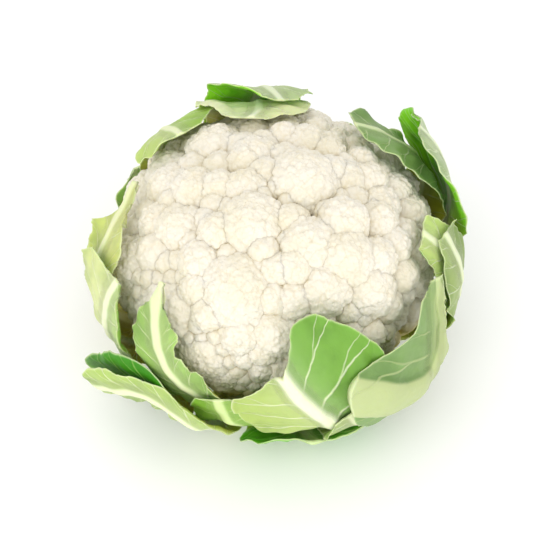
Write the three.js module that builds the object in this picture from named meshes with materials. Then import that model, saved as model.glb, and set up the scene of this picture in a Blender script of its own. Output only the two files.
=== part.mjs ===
// A cauliflower standing on its cut stump: one ivory curd of packed florets
// inside a ring of jacket leaves. Lengths are millimetres, angles degrees.
// +Z is up, the front faces -Y, the origin is the centre of the cut stump face.
import * as THREE from 'three';

// Driving dimensions
const HEAD_CENTRE = new THREE.Vector3(0, 0, 60);
const CURD = { radius: 81, up: 58, down: 40, boxy: 3 };
const CURD_CORE = { radius: 71, up: 48, down: 29.5, boxy: 3 };
const JACKET = { radius: 88, up: 60, down: 44, boxy: 3 };
const STUMP_PROFILE = [[0, 0], [23, 0], [24.5, 1.5], [24.5, 7], [20.5, 10], [15.5, 29.4], [0, 29.4]];
const BLADE_THICKNESS = 1.2;
const CLEARANCE = 1.6;

// The florets were laid out as seen from this eye, looking down at the front
const EYE_ELEVATION = 50;
const EYE_DISTANCE = 653;
const EYE_DROP = 12.6;

// Every floret seen from the front: right, up, radius of its outline, lift
const FLORETS = [
  [-38, 60, 9, 0], [-56, 43, 6, 1], [-47, 50, 10, 0], [-26, 46, 13, 1], [-9, 43, 10, 0],
  [-8, 60, 14, 1], [4, 56, 6, 1], [17, 61, 13, 1], [35, 56, 9, 0], [14, 49, 10, 0],
  [25, 47, 7, 0], [12, 30, 16, 4], [27, 38, 7, 2], [33, 34, 8, 1], [-13, 29, 9, 0],
  [-10, 13, 14, 3], [8, 15, 7, 1], [-27, 10, 8, 1], [-42, 11, 11, 0], [-54, 14, 9, 0],
  [-61, -6, 16, 1], [-69, -18, 11, 1], [-35, -4, 9, 1], [-37, -17, 7, 1], [-47, -26, 14, 2],
  [-32, -30, 7, 1], [-16, -15, 17, 3], [1, -8, 7, 1], [-1, -22, 7, 1], [-30, -48, 14, 1],
  [-16, -39, 9, 0], [0, -38, 10, 1], [-6, -48, 7, 0], [-6, -57, 6, 0], [-15, -52, 5, 0],
  [-27, -62, 11, 0], [-43, -49, 8, -1], [-43, -60, 6, -1], [33, 14, 10, 7], [16, 3, 12, 5],
  [32, -3, 13, 7], [48, -4, 9, 5], [23, -17, 11, 4], [43, -17, 12, 4], [9, -22, 8, 1],
  [10, -7, 8, 3], [48, 14, 9, 2], [56, 3, 8, 2], [41, 43, 7, 1], [43, 33, 9, 1],
  [55, 43, 9, 1], [56, 30, 8, 0], [48, 22, 9, 0], [64, 33, 8, 0], [63, 18, 9, 0],
  [62, 8, 7, 0], [72, 21, 8, -1], [67, -1, 8, 0], [75, -16, 8, -2], [61, -13, 10, -7],
  [58, -32, 15, -7], [36, -27, 6, -1], [-63, 28, 13, 0], [-47, 30, 11, 0], [-35, 28, 11, 0],
  [-67, 18, 8, 0], [-25, 30, 8, 0], [3, -57, 8, 0], [22, -42, 13, -2], [40, -47, 12, -3],
  [-13, 42, 8, 0],
];
const HIDDEN_FLORET_RADIUS = 12;
const HIDDEN_FLORET_TRIES = 185;
const FILLER_FLORET_RADIUS = 7.5;
const FILLER_FLORET_TRIES = 900;
const FILLER_FLORET_LIFT = -2;
const DOME_TO_OUTLINE = 1.12;
const LUMPS_PER_FLORET = 9;
const CURD_DIVISIONS = 21;
const CURD_TOP_CROWDING = 0.35;

// Each leaf from its base to its tip, innermost leaf first. A station holds azimuth
// from the front, elevation from the head centre, lift off the jacket round, half
// widths left and right, how much the left and right margins sweep towards the tip,
// and how far they curl outward. Numbers left off the end are 0.
const LEAVES = [
  {
    name: 'leaf_left_inner', rows: 12, columns: 6,
    stations: [
      [-20, -64, 0, 5, 5], [-18, -42, 0, 7, 7], [-17, -22, 0, 10, 10, 0.2, 0.2],
      [-20, -9, 2, 15, 14, 0.4, 0.3], [-27, -2, 3, 19, 15, 0.4, 0.3], [-33, 4, 4, 17, 9, 0.5, 0.3],
      [-36, 9, 4, 16, 12, 0.5, 0.3], [-39, 15, 4, 15, 10, 0.2, 0.3], [-41, 20, 5, 6, 5, 0.1, 0.3],
      [-42, 23, 5, 3, 3], [-44, 27, 5, 1.5, 1.5],
    ],
  },
  {
    name: 'leaf_left_upper', rows: 10, columns: 8,
    stations: [
      [-75, -64, 0, 5, 5], [-75, -42, 0, 8, 8], [-75, -18, 1, 14, 14, 0.2, 0.2],
      [-76, 2, 1, 15, 17, 0.2, 0.2], [-77, 14, 2, 14, 17, 0.2, 0.2, 4],
      [-80, 20, 2, 14, 13, 0.1, 0.2, 6], [-84, 24, 1, 6, 9, 0.1, 0.2, 1], [-91, 27, 1, 4, 6],
      [-99, 30, 1, 2, 3],
    ],
  },
  {
    name: 'leaf_back_left', rows: 10, columns: 8,
    stations: [
      [-135, -64, 0, 5, 5], [-135, -42, 0, 9, 9], [-135, -15, 0, 20, 18, 0.1, 0.2],
      [-136, 5, 1, 24, 13, 0.1, 0.2], [-134, 18, 2, 26, 14, 0.1, 0.3],
      [-131, 28, 2, 26, 24, 0.1, 0.3], [-128, 35, 2, 22, 27, 0.1, 0], [-125, 40, 2, 12, 18],
    ],
  },
  {
    name: 'leaf_back_inner', rows: 10, columns: 8,
    stations: [
      [-172, -64, 0, 5, 5], [-172, -42, 0, 9, 9], [-172, -15, 0, 20, 20], [-173, 8, 0, 26, 28],
      [-173, 26, 0, 28, 32], [-172, 37, -1, 27, 33], [-170, 45, -1, 22, 25], [-163, 53, 0, 8, 14],
    ],
  },
  {
    name: 'leaf_back_right', rows: 10, columns: 8,
    stations: [
      [122, -64, 0, 5, 5], [122, -42, 0, 9, 9], [121, -15, 0, 20, 18, 0.1, 0.1],
      [120, 5, 1, 29, 14, 0.2, 0.1], [121, 18, 2, 31, 14, 0.2, 0.1],
      [124, 28, 2, 26, 17, 0.1, 0.1, 0, 2], [128, 37, 3, 18, 17, 0, 0.1, 0, 2],
      [132, 44, 4, 10, 11, 0, 0, 0, 2],
    ],
  },
  {
    name: 'leaf_right', rows: 10, columns: 6,
    stations: [
      [76, -64, 0, 5, 5], [75, -42, 0, 8, 8], [75, -18, 1, 14, 14, 0.2, 0.1],
      [76, -3, 1, 16, 16, 0.2, 0.1], [75, 8, 2, 16, 16, 0.2, 0.1], [74, 16, 3, 16, 15, 0.2, 0.1],
      [73, 22, 3, 15, 14, 0.1, 0.1], [72, 27, 2, 12, 12],
    ],
  },
  {
    name: 'leaf_front_low_left', rows: 10, columns: 6,
    stations: [
      [8, -64, 0, 5, 5], [5, -44, 0, 8, 8], [-5, -26, 2, 14, 16], [-13, -13, 4, 18, 24],
      [-15, -5, 5, 16, 24], [-16, 0, 5, 10, 14],
    ],
  },
  {
    name: 'leaf_left', rows: 12, columns: 8,
    stations: [
      [-78, -60, 5, 5, 5], [-74, -42, 5, 9, 9], [-67, -20, 4, 18, 18], [-63, -5, 3, 26, 22],
      [-61, 5, 4, 30, 20, 0, 0, 5], [-60, 12, 5, 28, 11, 0, 0, 5], [-60, 17, 5, 22, 4, 0, 0, 5],
    ],
  },
  {
    name: 'leaf_left_low', rows: 10, columns: 6,
    stations: [
      [-51, -60, 5, 4, 4], [-48, -42, 5, 7, 7], [-40, -26, 5, 10, 12, 0.2, 0.2],
      [-39, -16, 5, 14, 22, 0.2, 0], [-43, -12, 7, 16, 26, 0.2, 0], [-50, -12, 11, 16, 17, 0.2, 0],
      [-57, -13, 17, 12, 11, 0.1, 0], [-61, -14, 22, 5, 5],
    ],
  },
  {
    name: 'leaf_front', rows: 12, columns: 10,
    stations: [
      [28, -60, 0, 4, 4], [28, -44, 0, 9, 9], [26, -34, 2, 14, 16, 0.5, 0.5],
      [24, -24, 5, 24, 34, 0.9, 0.7], [19, -15, 7, 32, 40, 0.9, 0.5], [12, -3, 8, 31, 40, 0.9, 0.4],
      [7, 4, 8, 17, 32, 0.9, 0.65], [2, 11, 7, 4, 15, 0.5, 1.0],
    ],
  },
  {
    name: 'leaf_front_right_inner', rows: 10, columns: 6,
    stations: [
      [42, -60, 1, 4, 4], [41, -46, 1, 8, 8], [37, -34, 3, 14, 16], [32, -25, 5, 20, 22],
      [28, -18, 6, 22, 24], [24, -11, 6, 18, 20], [21, -5, 6, 10, 12],
    ],
  },
  {
    name: 'leaf_right_outer', rows: 10, columns: 6,
    stations: [
      [84, -60, 5, 5, 5], [83, -42, 5, 8, 8], [80, -20, 5, 16, 16], [77, -4, 4, 20, 20],
      [75, 7, 3, 19, 20], [75, 15, 3, 13, 18], [77, 21, 3, 6, 12],
    ],
  },
  {
    name: 'leaf_back_right_outer', rows: 10, columns: 8,
    stations: [
      [112, -60, 5, 5, 5], [111, -42, 5, 9, 9], [108, -16, 5, 18, 22, 0.1, 0.2],
      [107, 2, 5, 24, 38, 0.1, 0.3], [108, 13, 8, 24, 40, 0, 0.35, 0, 4],
      [110, 20, 12, 22, 38, 0, 0.35, 0, 5], [113, 25, 15, 16, 30, 0, 0.3, 0, 4],
      [117, 29, 17, 8, 18],
    ],
  },
  {
    name: 'leaf_back', rows: 10, columns: 8,
    stations: [
      [-170, -60, 5, 5, 5], [-170, -42, 5, 9, 9], [-171, -15, 4, 22, 22], [-172, 6, 4, 28, 26],
      [-174, 20, 6, 26, 27, 0, 0, 0, 5], [-176, 29, 7, 24, 25, 0, 0, 0, 8],
      [-179, 36, 5, 22, 20, 0, 0, 0, 7], [-183, 42, 3, 12, 12, 0, 0, 0, 3],
    ],
  },
  {
    name: 'leaf_back_low_left', rows: 10, columns: 6,
    stations: [
      [-126, -60, 5, 5, 5], [-126, -42, 5, 10, 10], [-124, -24, 4, 24, 24], [-123, -16, 3, 32, 20],
      [-123, -10, 3, 32, 16], [-125, -4, 3, 24, 10], [-128, 1, 3, 12, 5],
    ],
  },
  {
    name: 'leaf_back_low_right', rows: 10, columns: 6,
    stations: [
      [150, -60, 5, 5, 5], [150, -42, 5, 10, 10], [150, -24, 4, 24, 26], [150, -13, 3, 32, 34],
      [150, -5, 3, 31, 33], [149, 1, 3, 22, 24], [149, 6, 3, 10, 12],
    ],
  },
  {
    name: 'leaf_front_left', rows: 12, columns: 6,
    stations: [
      [-24, -60, 5, 4, 4], [-22, -44, 5, 8, 8], [-20, -26, 6, 12, 12, 0.2, 0.2],
      [-23, -13, 8, 13, 13, 0.3, 0.3], [-31, -9, 9, 12, 13, 0.3, 0.3],
      [-39, -9, 10, 10, 12, 0.3, 0.3], [-47, -11, 13, 10, 12, 0.2, 0.2],
      [-53, -13, 17, 8, 10, 0.1, 0.1], [-57, -14, 20, 4, 6],
    ],
  },
  {
    name: 'leaf_front_right', rows: 13, columns: 10,
    stations: [
      [55, -60, 3, 4, 4], [54, -42, 4, 9, 9], [50, -24, 9, 14, 14, 0.2, 0, 2],
      [49, -17, 11, 42, 16, 0.25, 0, 2], [49, -11, 10, 56, 16, 0.42, 0, 2],
      [50, -4, 8, 43, 14, 0.36, 0, 3], [52, 2, 6, 28, 12, 0.22, 0, 5],
      [54, 7, 5, 19, 10, 0.05, 0, 5], [56, 12, 5, 9, 8], [59, 15, 4, 5, 5], [61, 18, 4, 4, 3],
    ],
  },
  {
    name: 'leaf_front_low', rows: 10, columns: 8,
    stations: [
      [2, -60, 5, 4, 4], [3, -46, 6, 8, 8], [8, -34, 8, 20, 22], [10, -26, 10, 30, 38],
      [11, -21, 11, 32, 42], [12, -17, 11, 26, 30],
    ],
  },
];
const PLAIN_STATION = [0, 0, 0, 0, 0, 0, 0, 0, 0];

const radians = THREE.MathUtils.degToRad;
const degrees = THREE.MathUtils.radToDeg;

// Foot on a flattened round of the ray from the head centre through q, with its normal
function roundFoot(q, shape) {
  const across = Math.max(Math.hypot(q.x, q.y), 1e-6);
  const power = q.z >= 0 ? 2 : shape.boxy;
  const half = q.z >= 0 ? shape.up : shape.down;
  const sum = (across / shape.radius) ** power + (Math.abs(q.z) / half) ** power;
  const foot = q.clone().multiplyScalar(sum ** (-1 / power));
  const footAcross = Math.hypot(foot.x, foot.y);
  const slopeAcross = footAcross ** (power - 1) / shape.radius ** power;
  const slopeUp = (Math.abs(foot.z) ** (power - 1) / half ** power) * Math.sign(q.z);
  const normal = new THREE.Vector3((q.x / across) * slopeAcross, (q.y / across) * slopeAcross, slopeUp);
  return { foot, normal: normal.normalize() };
}

// Foot on the jacket round straight below q, with the height of q over it
function settle(q) {
  let { foot, normal } = roundFoot(q, JACKET);
  for (let pass = 0; pass < 4; pass += 1) {
    const height = q.clone().sub(foot).dot(normal);
    ({ foot, normal } = roundFoot(q.clone().addScaledVector(normal, -height), JACKET));
  }
  return { foot, normal, height: q.clone().sub(foot).dot(normal) };
}

function heading(azimuth, elevation) {
  const a = radians(azimuth);
  const e = radians(elevation);
  return new THREE.Vector3(Math.cos(e) * Math.sin(a), -Math.cos(e) * Math.cos(a), Math.sin(e));
}

// Foot on the curd round over the place where a line of sight comes within depth of it
function sightedFoot(right, up, depth) {
  const e = radians(EYE_ELEVATION);
  const rightward = new THREE.Vector3(1, 0, 0);
  const upward = new THREE.Vector3(0, Math.sin(e), Math.cos(e));
  const backward = new THREE.Vector3(0, -Math.cos(e), Math.sin(e));
  const eye = backward.multiplyScalar(EYE_DISTANCE).addScaledVector(upward, -EYE_DROP);
  const aim = rightward.multiplyScalar(right).addScaledVector(upward, up).sub(eye).normalize();
  const across = CURD.radius - depth;
  const squash = (v, half) => new THREE.Vector3(v.x / across, v.y / across, v.z / half);
  const meet = (half) => {
    const from = squash(eye, half - depth);
    const along = squash(aim, half - depth);
    const a = along.lengthSq();
    const b = from.dot(along);
    const inside = Math.max(b * b - a * (from.lengthSq() - 1), 0);
    return eye.clone().addScaledVector(aim, (-b - Math.sqrt(inside)) / a);
  };
  const high = meet(CURD.up);
  return roundFoot(high.z >= 0 ? high : meet(CURD.down), CURD);
}

// Adds florets wherever there is room, trying places along a golden spiral all over the curd
function fillFlorets(florets, tries, size, spread, apart, lift) {
  const golden = Math.PI * (3 - Math.sqrt(5));
  for (let k = 0; k < tries; k += 1) {
    const z = 1 - (1.75 * (k + 0.5)) / tries;
    const flat = Math.sqrt(1 - z * z);
    const q = new THREE.Vector3(flat * Math.cos(golden * k), flat * Math.sin(golden * k), z);
    q.multiply(new THREE.Vector3(CURD.radius, CURD.radius, z > 0 ? CURD.up : CURD.down));
    const spot = roundFoot(q, CURD);
    const radius = size * (0.85 + 0.3 * Math.sin(2.4 * k));
    const free = florets.every((f) => f.foot.distanceTo(spot.foot) > apart * (f.radius + radius));
    if (free) florets.push({ ...spot, radius, lift: lift + spread * Math.sin(1.7 * k) });
  }
}

// The domes of the florets that can be seen, those all round the back, and small ones between
function floretDomes() {
  const florets = FLORETS.map(([right, up, radius, lift]) => {
    const spot = sightedFoot(right, up, DOME_TO_OUTLINE * radius - lift);
    return { ...spot, radius, lift };
  });
  fillFlorets(florets, HIDDEN_FLORET_TRIES, HIDDEN_FLORET_RADIUS, 1.2, 0.82, 0);
  fillFlorets(florets, FILLER_FLORET_TRIES, FILLER_FLORET_RADIUS, 0.6, 0.7, FILLER_FLORET_LIFT);
  return florets.map(({ foot, normal, radius, lift }) => {
    const dome = DOME_TO_OUTLINE * radius;
    return { centre: foot.clone().addScaledVector(normal, lift - dome), normal, radius: dome };
  });
}

// Rounds over the outer cap of one floret dome, sunk until they meet in creases
function floretLumps(dome, turn) {
  const side = new THREE.Vector3(dome.normal.z, 0, -dome.normal.x).normalize();
  const other = dome.normal.clone().cross(side);
  const golden = Math.PI * (3 - Math.sqrt(5));
  const lumps = [];
  for (let k = 0; k < LUMPS_PER_FLORET; k += 1) {
    const lean = Math.acos(1 - (0.62 * (k + 0.4)) / LUMPS_PER_FLORET);
    const spin = golden * k + turn;
    const out = dome.normal.clone().multiplyScalar(Math.cos(lean));
    out.addScaledVector(side, Math.sin(lean) * Math.cos(spin));
    out.addScaledVector(other, Math.sin(lean) * Math.sin(spin));
    lumps.push({
      centre: dome.centre.clone().addScaledVector(out, 0.42 * dome.radius),
      radius: 0.62 * dome.radius,
    });
  }
  return lumps;
}

function curdRounds() {
  const domes = floretDomes();
  return domes.flatMap((dome, index) => [dome, ...floretLumps(dome, 2.1 * index)]);
}

// Distance from the head centre to the skin of the curd along one direction
function curdReach(direction, rounds) {
  let reach = roundFoot(direction, CURD_CORE).foot.length();
  for (const { centre, radius } of rounds) {
    const along = direction.dot(centre);
    const inside = along * along - centre.lengthSq() + radius * radius;
    if (along > 0 && inside > 0) reach = Math.max(reach, along + Math.sqrt(inside));
  }
  return reach;
}

// Turns a direction towards the top, so that the florets in sight get more of the facets
function crowdUpward(direction) {
  const lean = Math.acos(THREE.MathUtils.clamp(direction.z, -1, 1));
  const moved = lean - CURD_TOP_CROWDING * Math.sin(lean);
  const across = Math.hypot(direction.x, direction.y);
  const widen = across > 1e-6 ? Math.sin(moved) / across : 1;
  direction.set(direction.x * widen, direction.y * widen, Math.cos(moved));
}

function curdGeometry(rounds) {
  const ball = new THREE.IcosahedronGeometry(1, CURD_DIVISIONS).getAttribute('position');
  const numbers = new Map();
  const positions = [];
  const index = [];
  for (let i = 0; i < ball.count; i += 1) {
    const direction = new THREE.Vector3().fromBufferAttribute(ball, i).normalize();
    const key = direction.toArray().map((value) => Math.round(value * 1e4)).join(',');
    if (!numbers.has(key)) {
      numbers.set(key, positions.length / 3);
      crowdUpward(direction);
      const skin = direction.multiplyScalar(curdReach(direction, rounds)).add(HEAD_CENTRE);
      positions.push(skin.x, skin.y, skin.z);
    }
    index.push(numbers.get(key));
  }
  return closedGeometry(positions, index);
}

function closedGeometry(positions, index) {
  const geometry = new THREE.BufferGeometry();
  geometry.setAttribute('position', new THREE.Float32BufferAttribute(positions, 3));
  geometry.setIndex(index);
  geometry.computeVertexNormals();
  return geometry;
}

// A map over azimuth and elevation of how high the jacket round is already covered
const CELL = 2.5;
const CELLS_ROUND = 360 / CELL;
const LOWEST = -82.5;
const CELLS_UP = 67;
const BARE = -30;

function emptyCover() {
  return new Float64Array(CELLS_ROUND * CELLS_UP).fill(BARE);
}

function cellOf(column, row) {
  const wrapped = ((column % CELLS_ROUND) + CELLS_ROUND) % CELLS_ROUND;
  return Math.min(Math.max(row, 0), CELLS_UP - 1) * CELLS_ROUND + wrapped;
}

function mapPlace(foot) {
  const azimuth = degrees(Math.atan2(foot.x, -foot.y));
  const elevation = degrees(Math.atan2(foot.z, Math.hypot(foot.x, foot.y)));
  return [azimuth / CELL, (elevation - LOWEST) / CELL];
}

function coverPoint(cover, q) {
  const { foot, height } = settle(q);
  const [column, row] = mapPlace(foot);
  const cell = cellOf(Math.round(column), Math.round(row));
  cover[cell] = Math.max(cover[cell], height);
}

// The cover with each peak widened by two cells, then evened out by one
function rideMap(cover) {
  const around = (map, reach, gather) => {
    const made = emptyCover();
    for (let row = 0; row < CELLS_UP; row += 1) {
      for (let column = 0; column < CELLS_ROUND; column += 1) {
        const near = [];
        for (let i = -reach; i <= reach; i += 1) {
          for (let j = -reach; j <= reach; j += 1) near.push(map[cellOf(column + i, row + j)]);
        }
        made[cellOf(column, row)] = gather(near);
      }
    }
    return made;
  };
  const widened = around(cover, 2, (near) => Math.max(...near));
  return around(widened, 1, (near) => near.reduce((a, b) => a + b) / near.length);
}

function coverHeight(map, foot) {
  const [column, row] = mapPlace(foot);
  const c = Math.floor(column);
  const r = Math.floor(row);
  const low = THREE.MathUtils.lerp(map[cellOf(c, r)], map[cellOf(c + 1, r)], column - c);
  const high = THREE.MathUtils.lerp(map[cellOf(c, r + 1)], map[cellOf(c + 1, r + 1)], column - c);
  return THREE.MathUtils.lerp(low, high, row - r);
}

// The larger of two heights, eased where they are nearly equal
function easedMax(a, b) {
  const ease = 1.5;
  return Math.max(a, b) + Math.max(ease - Math.abs(a - b), 0) ** 2 / (4 * ease);
}

function smoothStation(stations, place) {
  const last = stations.length - 1;
  const i = Math.min(Math.floor(place), last - 1);
  const t = place - i;
  const at = (k) => stations[Math.min(Math.max(k, 0), last)];
  return PLAIN_STATION.map((plain, n) => {
    const [a, b, c, d] = [i - 1, i, i + 1, i + 2].map((k) => at(k)[n] ?? plain);
    return b + 0.5 * t * (c - a + t * (2 * a - 5 * b + 4 * c - d + t * (3 * (b - c) + d - a)));
  });
}

const ROW_NUMBERS = ['lift', 'left', 'right', 'sweepLeft', 'sweepRight', 'curlLeft', 'curlRight'];

// Finely spaced places along the midrib, with the directions along and across the leaf
function leafSpine(stations) {
  const fine = 20 * (stations.length - 1);
  const spine = Array.from({ length: fine + 1 }, (_, k) => {
    const [azimuth, elevation, ...numbers] = smoothStation(stations, (k * (stations.length - 1)) / fine);
    const place = roundFoot(heading(azimuth, elevation), JACKET);
    ROW_NUMBERS.forEach((name, n) => { place[name] = numbers[n]; });
    return place;
  });
  spine.forEach((place, k) => {
    const before = spine[Math.max(k - 3, 0)].foot;
    const after = spine[Math.min(k + 3, fine)].foot;
    place.forward = after.clone().sub(before).normalize();
    place.across = place.forward.clone().cross(place.normal).normalize();
  });
  return spine;
}

// A point of the leaf laid flat, t running from -1 at the left margin to 1 at the right
function flatPoint(place, t) {
  const offset = t * (t < 0 ? place.left : place.right);
  const sweep = Math.abs(offset) * (t < 0 ? place.sweepLeft : place.sweepRight);
  return place.foot.clone().addScaledVector(place.across, offset).addScaledVector(place.forward, sweep);
}

// Rows of the leaf, spaced evenly by how far midrib and margins run on average
function leafRows(stations, count) {
  const spine = leafSpine(stations);
  const run = [0];
  const along = [0];
  for (let k = 1; k < spine.length; k += 1) {
    const steps = [-1, 0, 1].map((t) => flatPoint(spine[k], t).distanceTo(flatPoint(spine[k - 1], t)));
    run.push(run[k - 1] + (steps[0] + steps[1] + steps[2]) / 3);
    along.push(along[k - 1] + steps[1]);
  }
  const rows = [];
  for (let step = 0; step <= count; step += 1) {
    const wanted = (run[run.length - 1] * step) / count;
    let k = 0;
    while (k < spine.length - 2 && run[k + 1] < wanted) k += 1;
    const t = (wanted - run[k]) / (run[k + 1] - run[k]);
    const row = { along: THREE.MathUtils.lerp(along[k], along[k + 1], t) };
    for (const name of ROW_NUMBERS) row[name] = THREE.MathUtils.lerp(spine[k][name], spine[k + 1][name], t);
    for (const name of ['foot', 'forward', 'across']) row[name] = spine[k][name].clone().lerp(spine[k + 1][name], t);
    rows.push(row);
  }
  return rows;
}

// Thickness of a leaf: a thin blade with a midrib that is stout at the base
function leafThickness(along, offset) {
  const fade = Math.exp(-along / 45);
  const ribHeight = 2.6 * fade + 0.5;
  const ribWidth = 6 * fade + 2.2;
  return BLADE_THICKNESS + ribHeight * Math.exp(-((offset / ribWidth) ** 2));
}

function leafSkins(leaf, map) {
  const rows = leafRows(leaf.stations, leaf.rows);
  const inner = rows.map((row) => {
    const points = [];
    for (let column = 0; column <= leaf.columns; column += 1) {
      const t = (2 * column) / leaf.columns - 1;
      const offset = t * (t < 0 ? row.left : row.right);
      const { foot, normal } = roundFoot(flatPoint(row, t), JACKET);
      const wanted = row.lift + t * t * (t < 0 ? row.curlLeft : row.curlRight);
      const height = easedMax(wanted, coverHeight(map, foot) + CLEARANCE);
      points.push({ at: foot.clone().addScaledVector(normal, height), offset });
    }
    return points;
  });
  const outer = inner.map((points, r) => points.map(({ at, offset }, c) => {
    const nextRow = inner[Math.min(r + 1, leaf.rows)][c].at;
    const lastRow = inner[Math.max(r - 1, 0)][c].at;
    const nextColumn = points[Math.min(c + 1, leaf.columns)].at;
    const lastColumn = points[Math.max(c - 1, 0)].at;
    const forward = nextRow.clone().sub(lastRow);
    const outward = nextColumn.clone().sub(lastColumn).cross(forward).normalize();
    return at.clone().addScaledVector(outward, leafThickness(rows[r].along, offset));
  }));
  return { inner: inner.map((points) => points.map(({ at }) => at)), outer };
}

function sheetGeometry({ inner, outer }) {
  const rows = inner.length - 1;
  const columns = inner[0].length - 1;
  const width = columns + 1;
  const positions = [];
  for (const skin of [outer, inner]) {
    for (const points of skin) {
      for (const point of points) positions.push(point.x, point.y, point.z + HEAD_CENTRE.z);
    }
  }
  const front = (r, c) => r * width + c;
  const back = (r, c) => (rows + 1) * width + r * width + c;
  const index = [];
  const quad = (a, b, c, d) => index.push(a, b, c, a, c, d);
  for (let r = 0; r < rows; r += 1) {
    for (let c = 0; c < columns; c += 1) {
      quad(front(r, c), front(r, c + 1), front(r + 1, c + 1), front(r + 1, c));
      index.push(back(r, c), back(r + 1, c + 1), back(r, c + 1));
      index.push(back(r, c), back(r + 1, c), back(r + 1, c + 1));
    }
  }
  for (let r = 0; r < rows; r += 1) {
    quad(front(r, 0), front(r + 1, 0), back(r + 1, 0), back(r, 0));
    quad(front(r, columns), back(r, columns), back(r + 1, columns), front(r + 1, columns));
  }
  for (let c = 0; c < columns; c += 1) {
    quad(front(0, c), back(0, c), back(0, c + 1), front(0, c + 1));
    quad(front(rows, c), front(rows, c + 1), back(rows, c + 1), back(rows, c));
  }
  return closedGeometry(positions, index);
}

// Marks every place a finished leaf covers, so that the next one rides over it
function coverLeaf(cover, { outer }) {
  const parts = 4;
  for (let r = 0; r < outer.length - 1; r += 1) {
    for (let c = 0; c < outer[0].length - 1; c += 1) {
      for (let i = 0; i <= parts; i += 1) {
        for (let j = 0; j <= parts; j += 1) coverPoint(cover, facetPoint(outer, r, c, i / parts, j / parts));
      }
    }
  }
}

// A point on one of the two facets between four neighbours of a leaf skin
function facetPoint(skin, r, c, along, across) {
  const [a, b, d, e] = [skin[r][c], skin[r][c + 1], skin[r + 1][c + 1], skin[r + 1][c]];
  const point = a.clone();
  if (across >= along) return point.addScaledVector(b.clone().sub(a), across).addScaledVector(d.clone().sub(b), along);
  return point.addScaledVector(e.clone().sub(a), along).addScaledVector(d.clone().sub(e), across);
}

function curdCover(rounds) {
  const cover = emptyCover();
  for (let elevation = -80; elevation <= 88; elevation += 1.5) {
    for (let azimuth = 0; azimuth < 360; azimuth += 1.5) {
      const direction = heading(azimuth, elevation);
      coverPoint(cover, direction.multiplyScalar(curdReach(direction, rounds)));
    }
  }
  return cover;
}

function stumpGeometry() {
  const lathe = new THREE.LatheGeometry(STUMP_PROFILE.map(([x, y]) => new THREE.Vector2(x, y)), 28);
  lathe.rotateX(Math.PI / 2);
  return lathe;
}

function named(name, geometry, material) {
  const mesh = new THREE.Mesh(geometry, material);
  mesh.name = name;
  return mesh;
}

const curdIvory = new THREE.MeshStandardMaterial({ name: 'curd_ivory', color: 0xf1ead6, roughness: 0.75 });
const leafGreen = new THREE.MeshStandardMaterial({ name: 'leaf_green', color: 0xa9cf62, roughness: 0.5 });
const stumpPale = new THREE.MeshStandardMaterial({ name: 'stump_pale', color: 0xe3e4c0, roughness: 0.6 });

const cauliflower = new THREE.Group();
cauliflower.name = 'cauliflower';
const rounds = curdRounds();
cauliflower.add(named('curd', curdGeometry(rounds), curdIvory));
cauliflower.add(named('stump', stumpGeometry(), stumpPale));
const cover = curdCover(rounds);
for (const leaf of LEAVES) {
  const skins = leafSkins(leaf, rideMap(cover));
  cauliflower.add(named(leaf.name, sheetGeometry(skins), leafGreen));
  coverLeaf(cover, skins);
}

export default cauliflower;
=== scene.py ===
"""A cauliflower in its jacket leaves, on a pale floor in soft studio light.

Shapes are worked out in millimetres from the middle of the head, then put in metres in the
shared frame: +Z up, front towards -Y, the origin at the centre of the cut stump face.
"""

import math

import bpy
import numpy as np
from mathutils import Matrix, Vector

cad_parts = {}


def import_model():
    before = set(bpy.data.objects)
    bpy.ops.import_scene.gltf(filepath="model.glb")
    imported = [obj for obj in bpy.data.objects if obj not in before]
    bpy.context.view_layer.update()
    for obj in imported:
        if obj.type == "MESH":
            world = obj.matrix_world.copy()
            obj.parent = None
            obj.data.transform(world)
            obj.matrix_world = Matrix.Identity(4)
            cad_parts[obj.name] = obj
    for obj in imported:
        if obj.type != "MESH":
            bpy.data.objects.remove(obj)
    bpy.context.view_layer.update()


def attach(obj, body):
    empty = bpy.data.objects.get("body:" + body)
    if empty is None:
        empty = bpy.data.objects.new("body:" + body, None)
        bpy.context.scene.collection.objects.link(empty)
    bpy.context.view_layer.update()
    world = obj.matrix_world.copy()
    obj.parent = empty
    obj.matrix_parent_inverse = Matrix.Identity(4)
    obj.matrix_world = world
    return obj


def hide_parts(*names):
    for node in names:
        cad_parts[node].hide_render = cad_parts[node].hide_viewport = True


# The forms shared with the solids, in mm
HEAD_CENTRE = np.array([0.0, 0.0, 60.0])
CURD = {"radius": 81, "up": 58, "down": 40, "boxy": 3}
CURD_CORE = {"radius": 71, "up": 48, "down": 29.5, "boxy": 3}
JACKET = {"radius": 88, "up": 60, "down": 44, "boxy": 3}
STUMP_PROFILE = [[0, 0], [23, 0], [24.5, 1.5], [24.5, 7], [20.5, 10], [15.5, 29.4], [0, 29.4]]
BLADE_THICKNESS = 1.2
CLEARANCE = 1.6
# Usual midrib: half width lost on the way to the tip and left there, then the same of height
MIDRIB = (6, 2.0, 2.8, 0.7)
# How far a rolled margin stands outward, where a leaf doesn't say
ROLL = 2.5
EYE_ELEVATION = 50
EYE_DISTANCE = 653
EYE_DROP = 12.6
GOLDEN = math.pi * (3 - math.sqrt(5))

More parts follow.
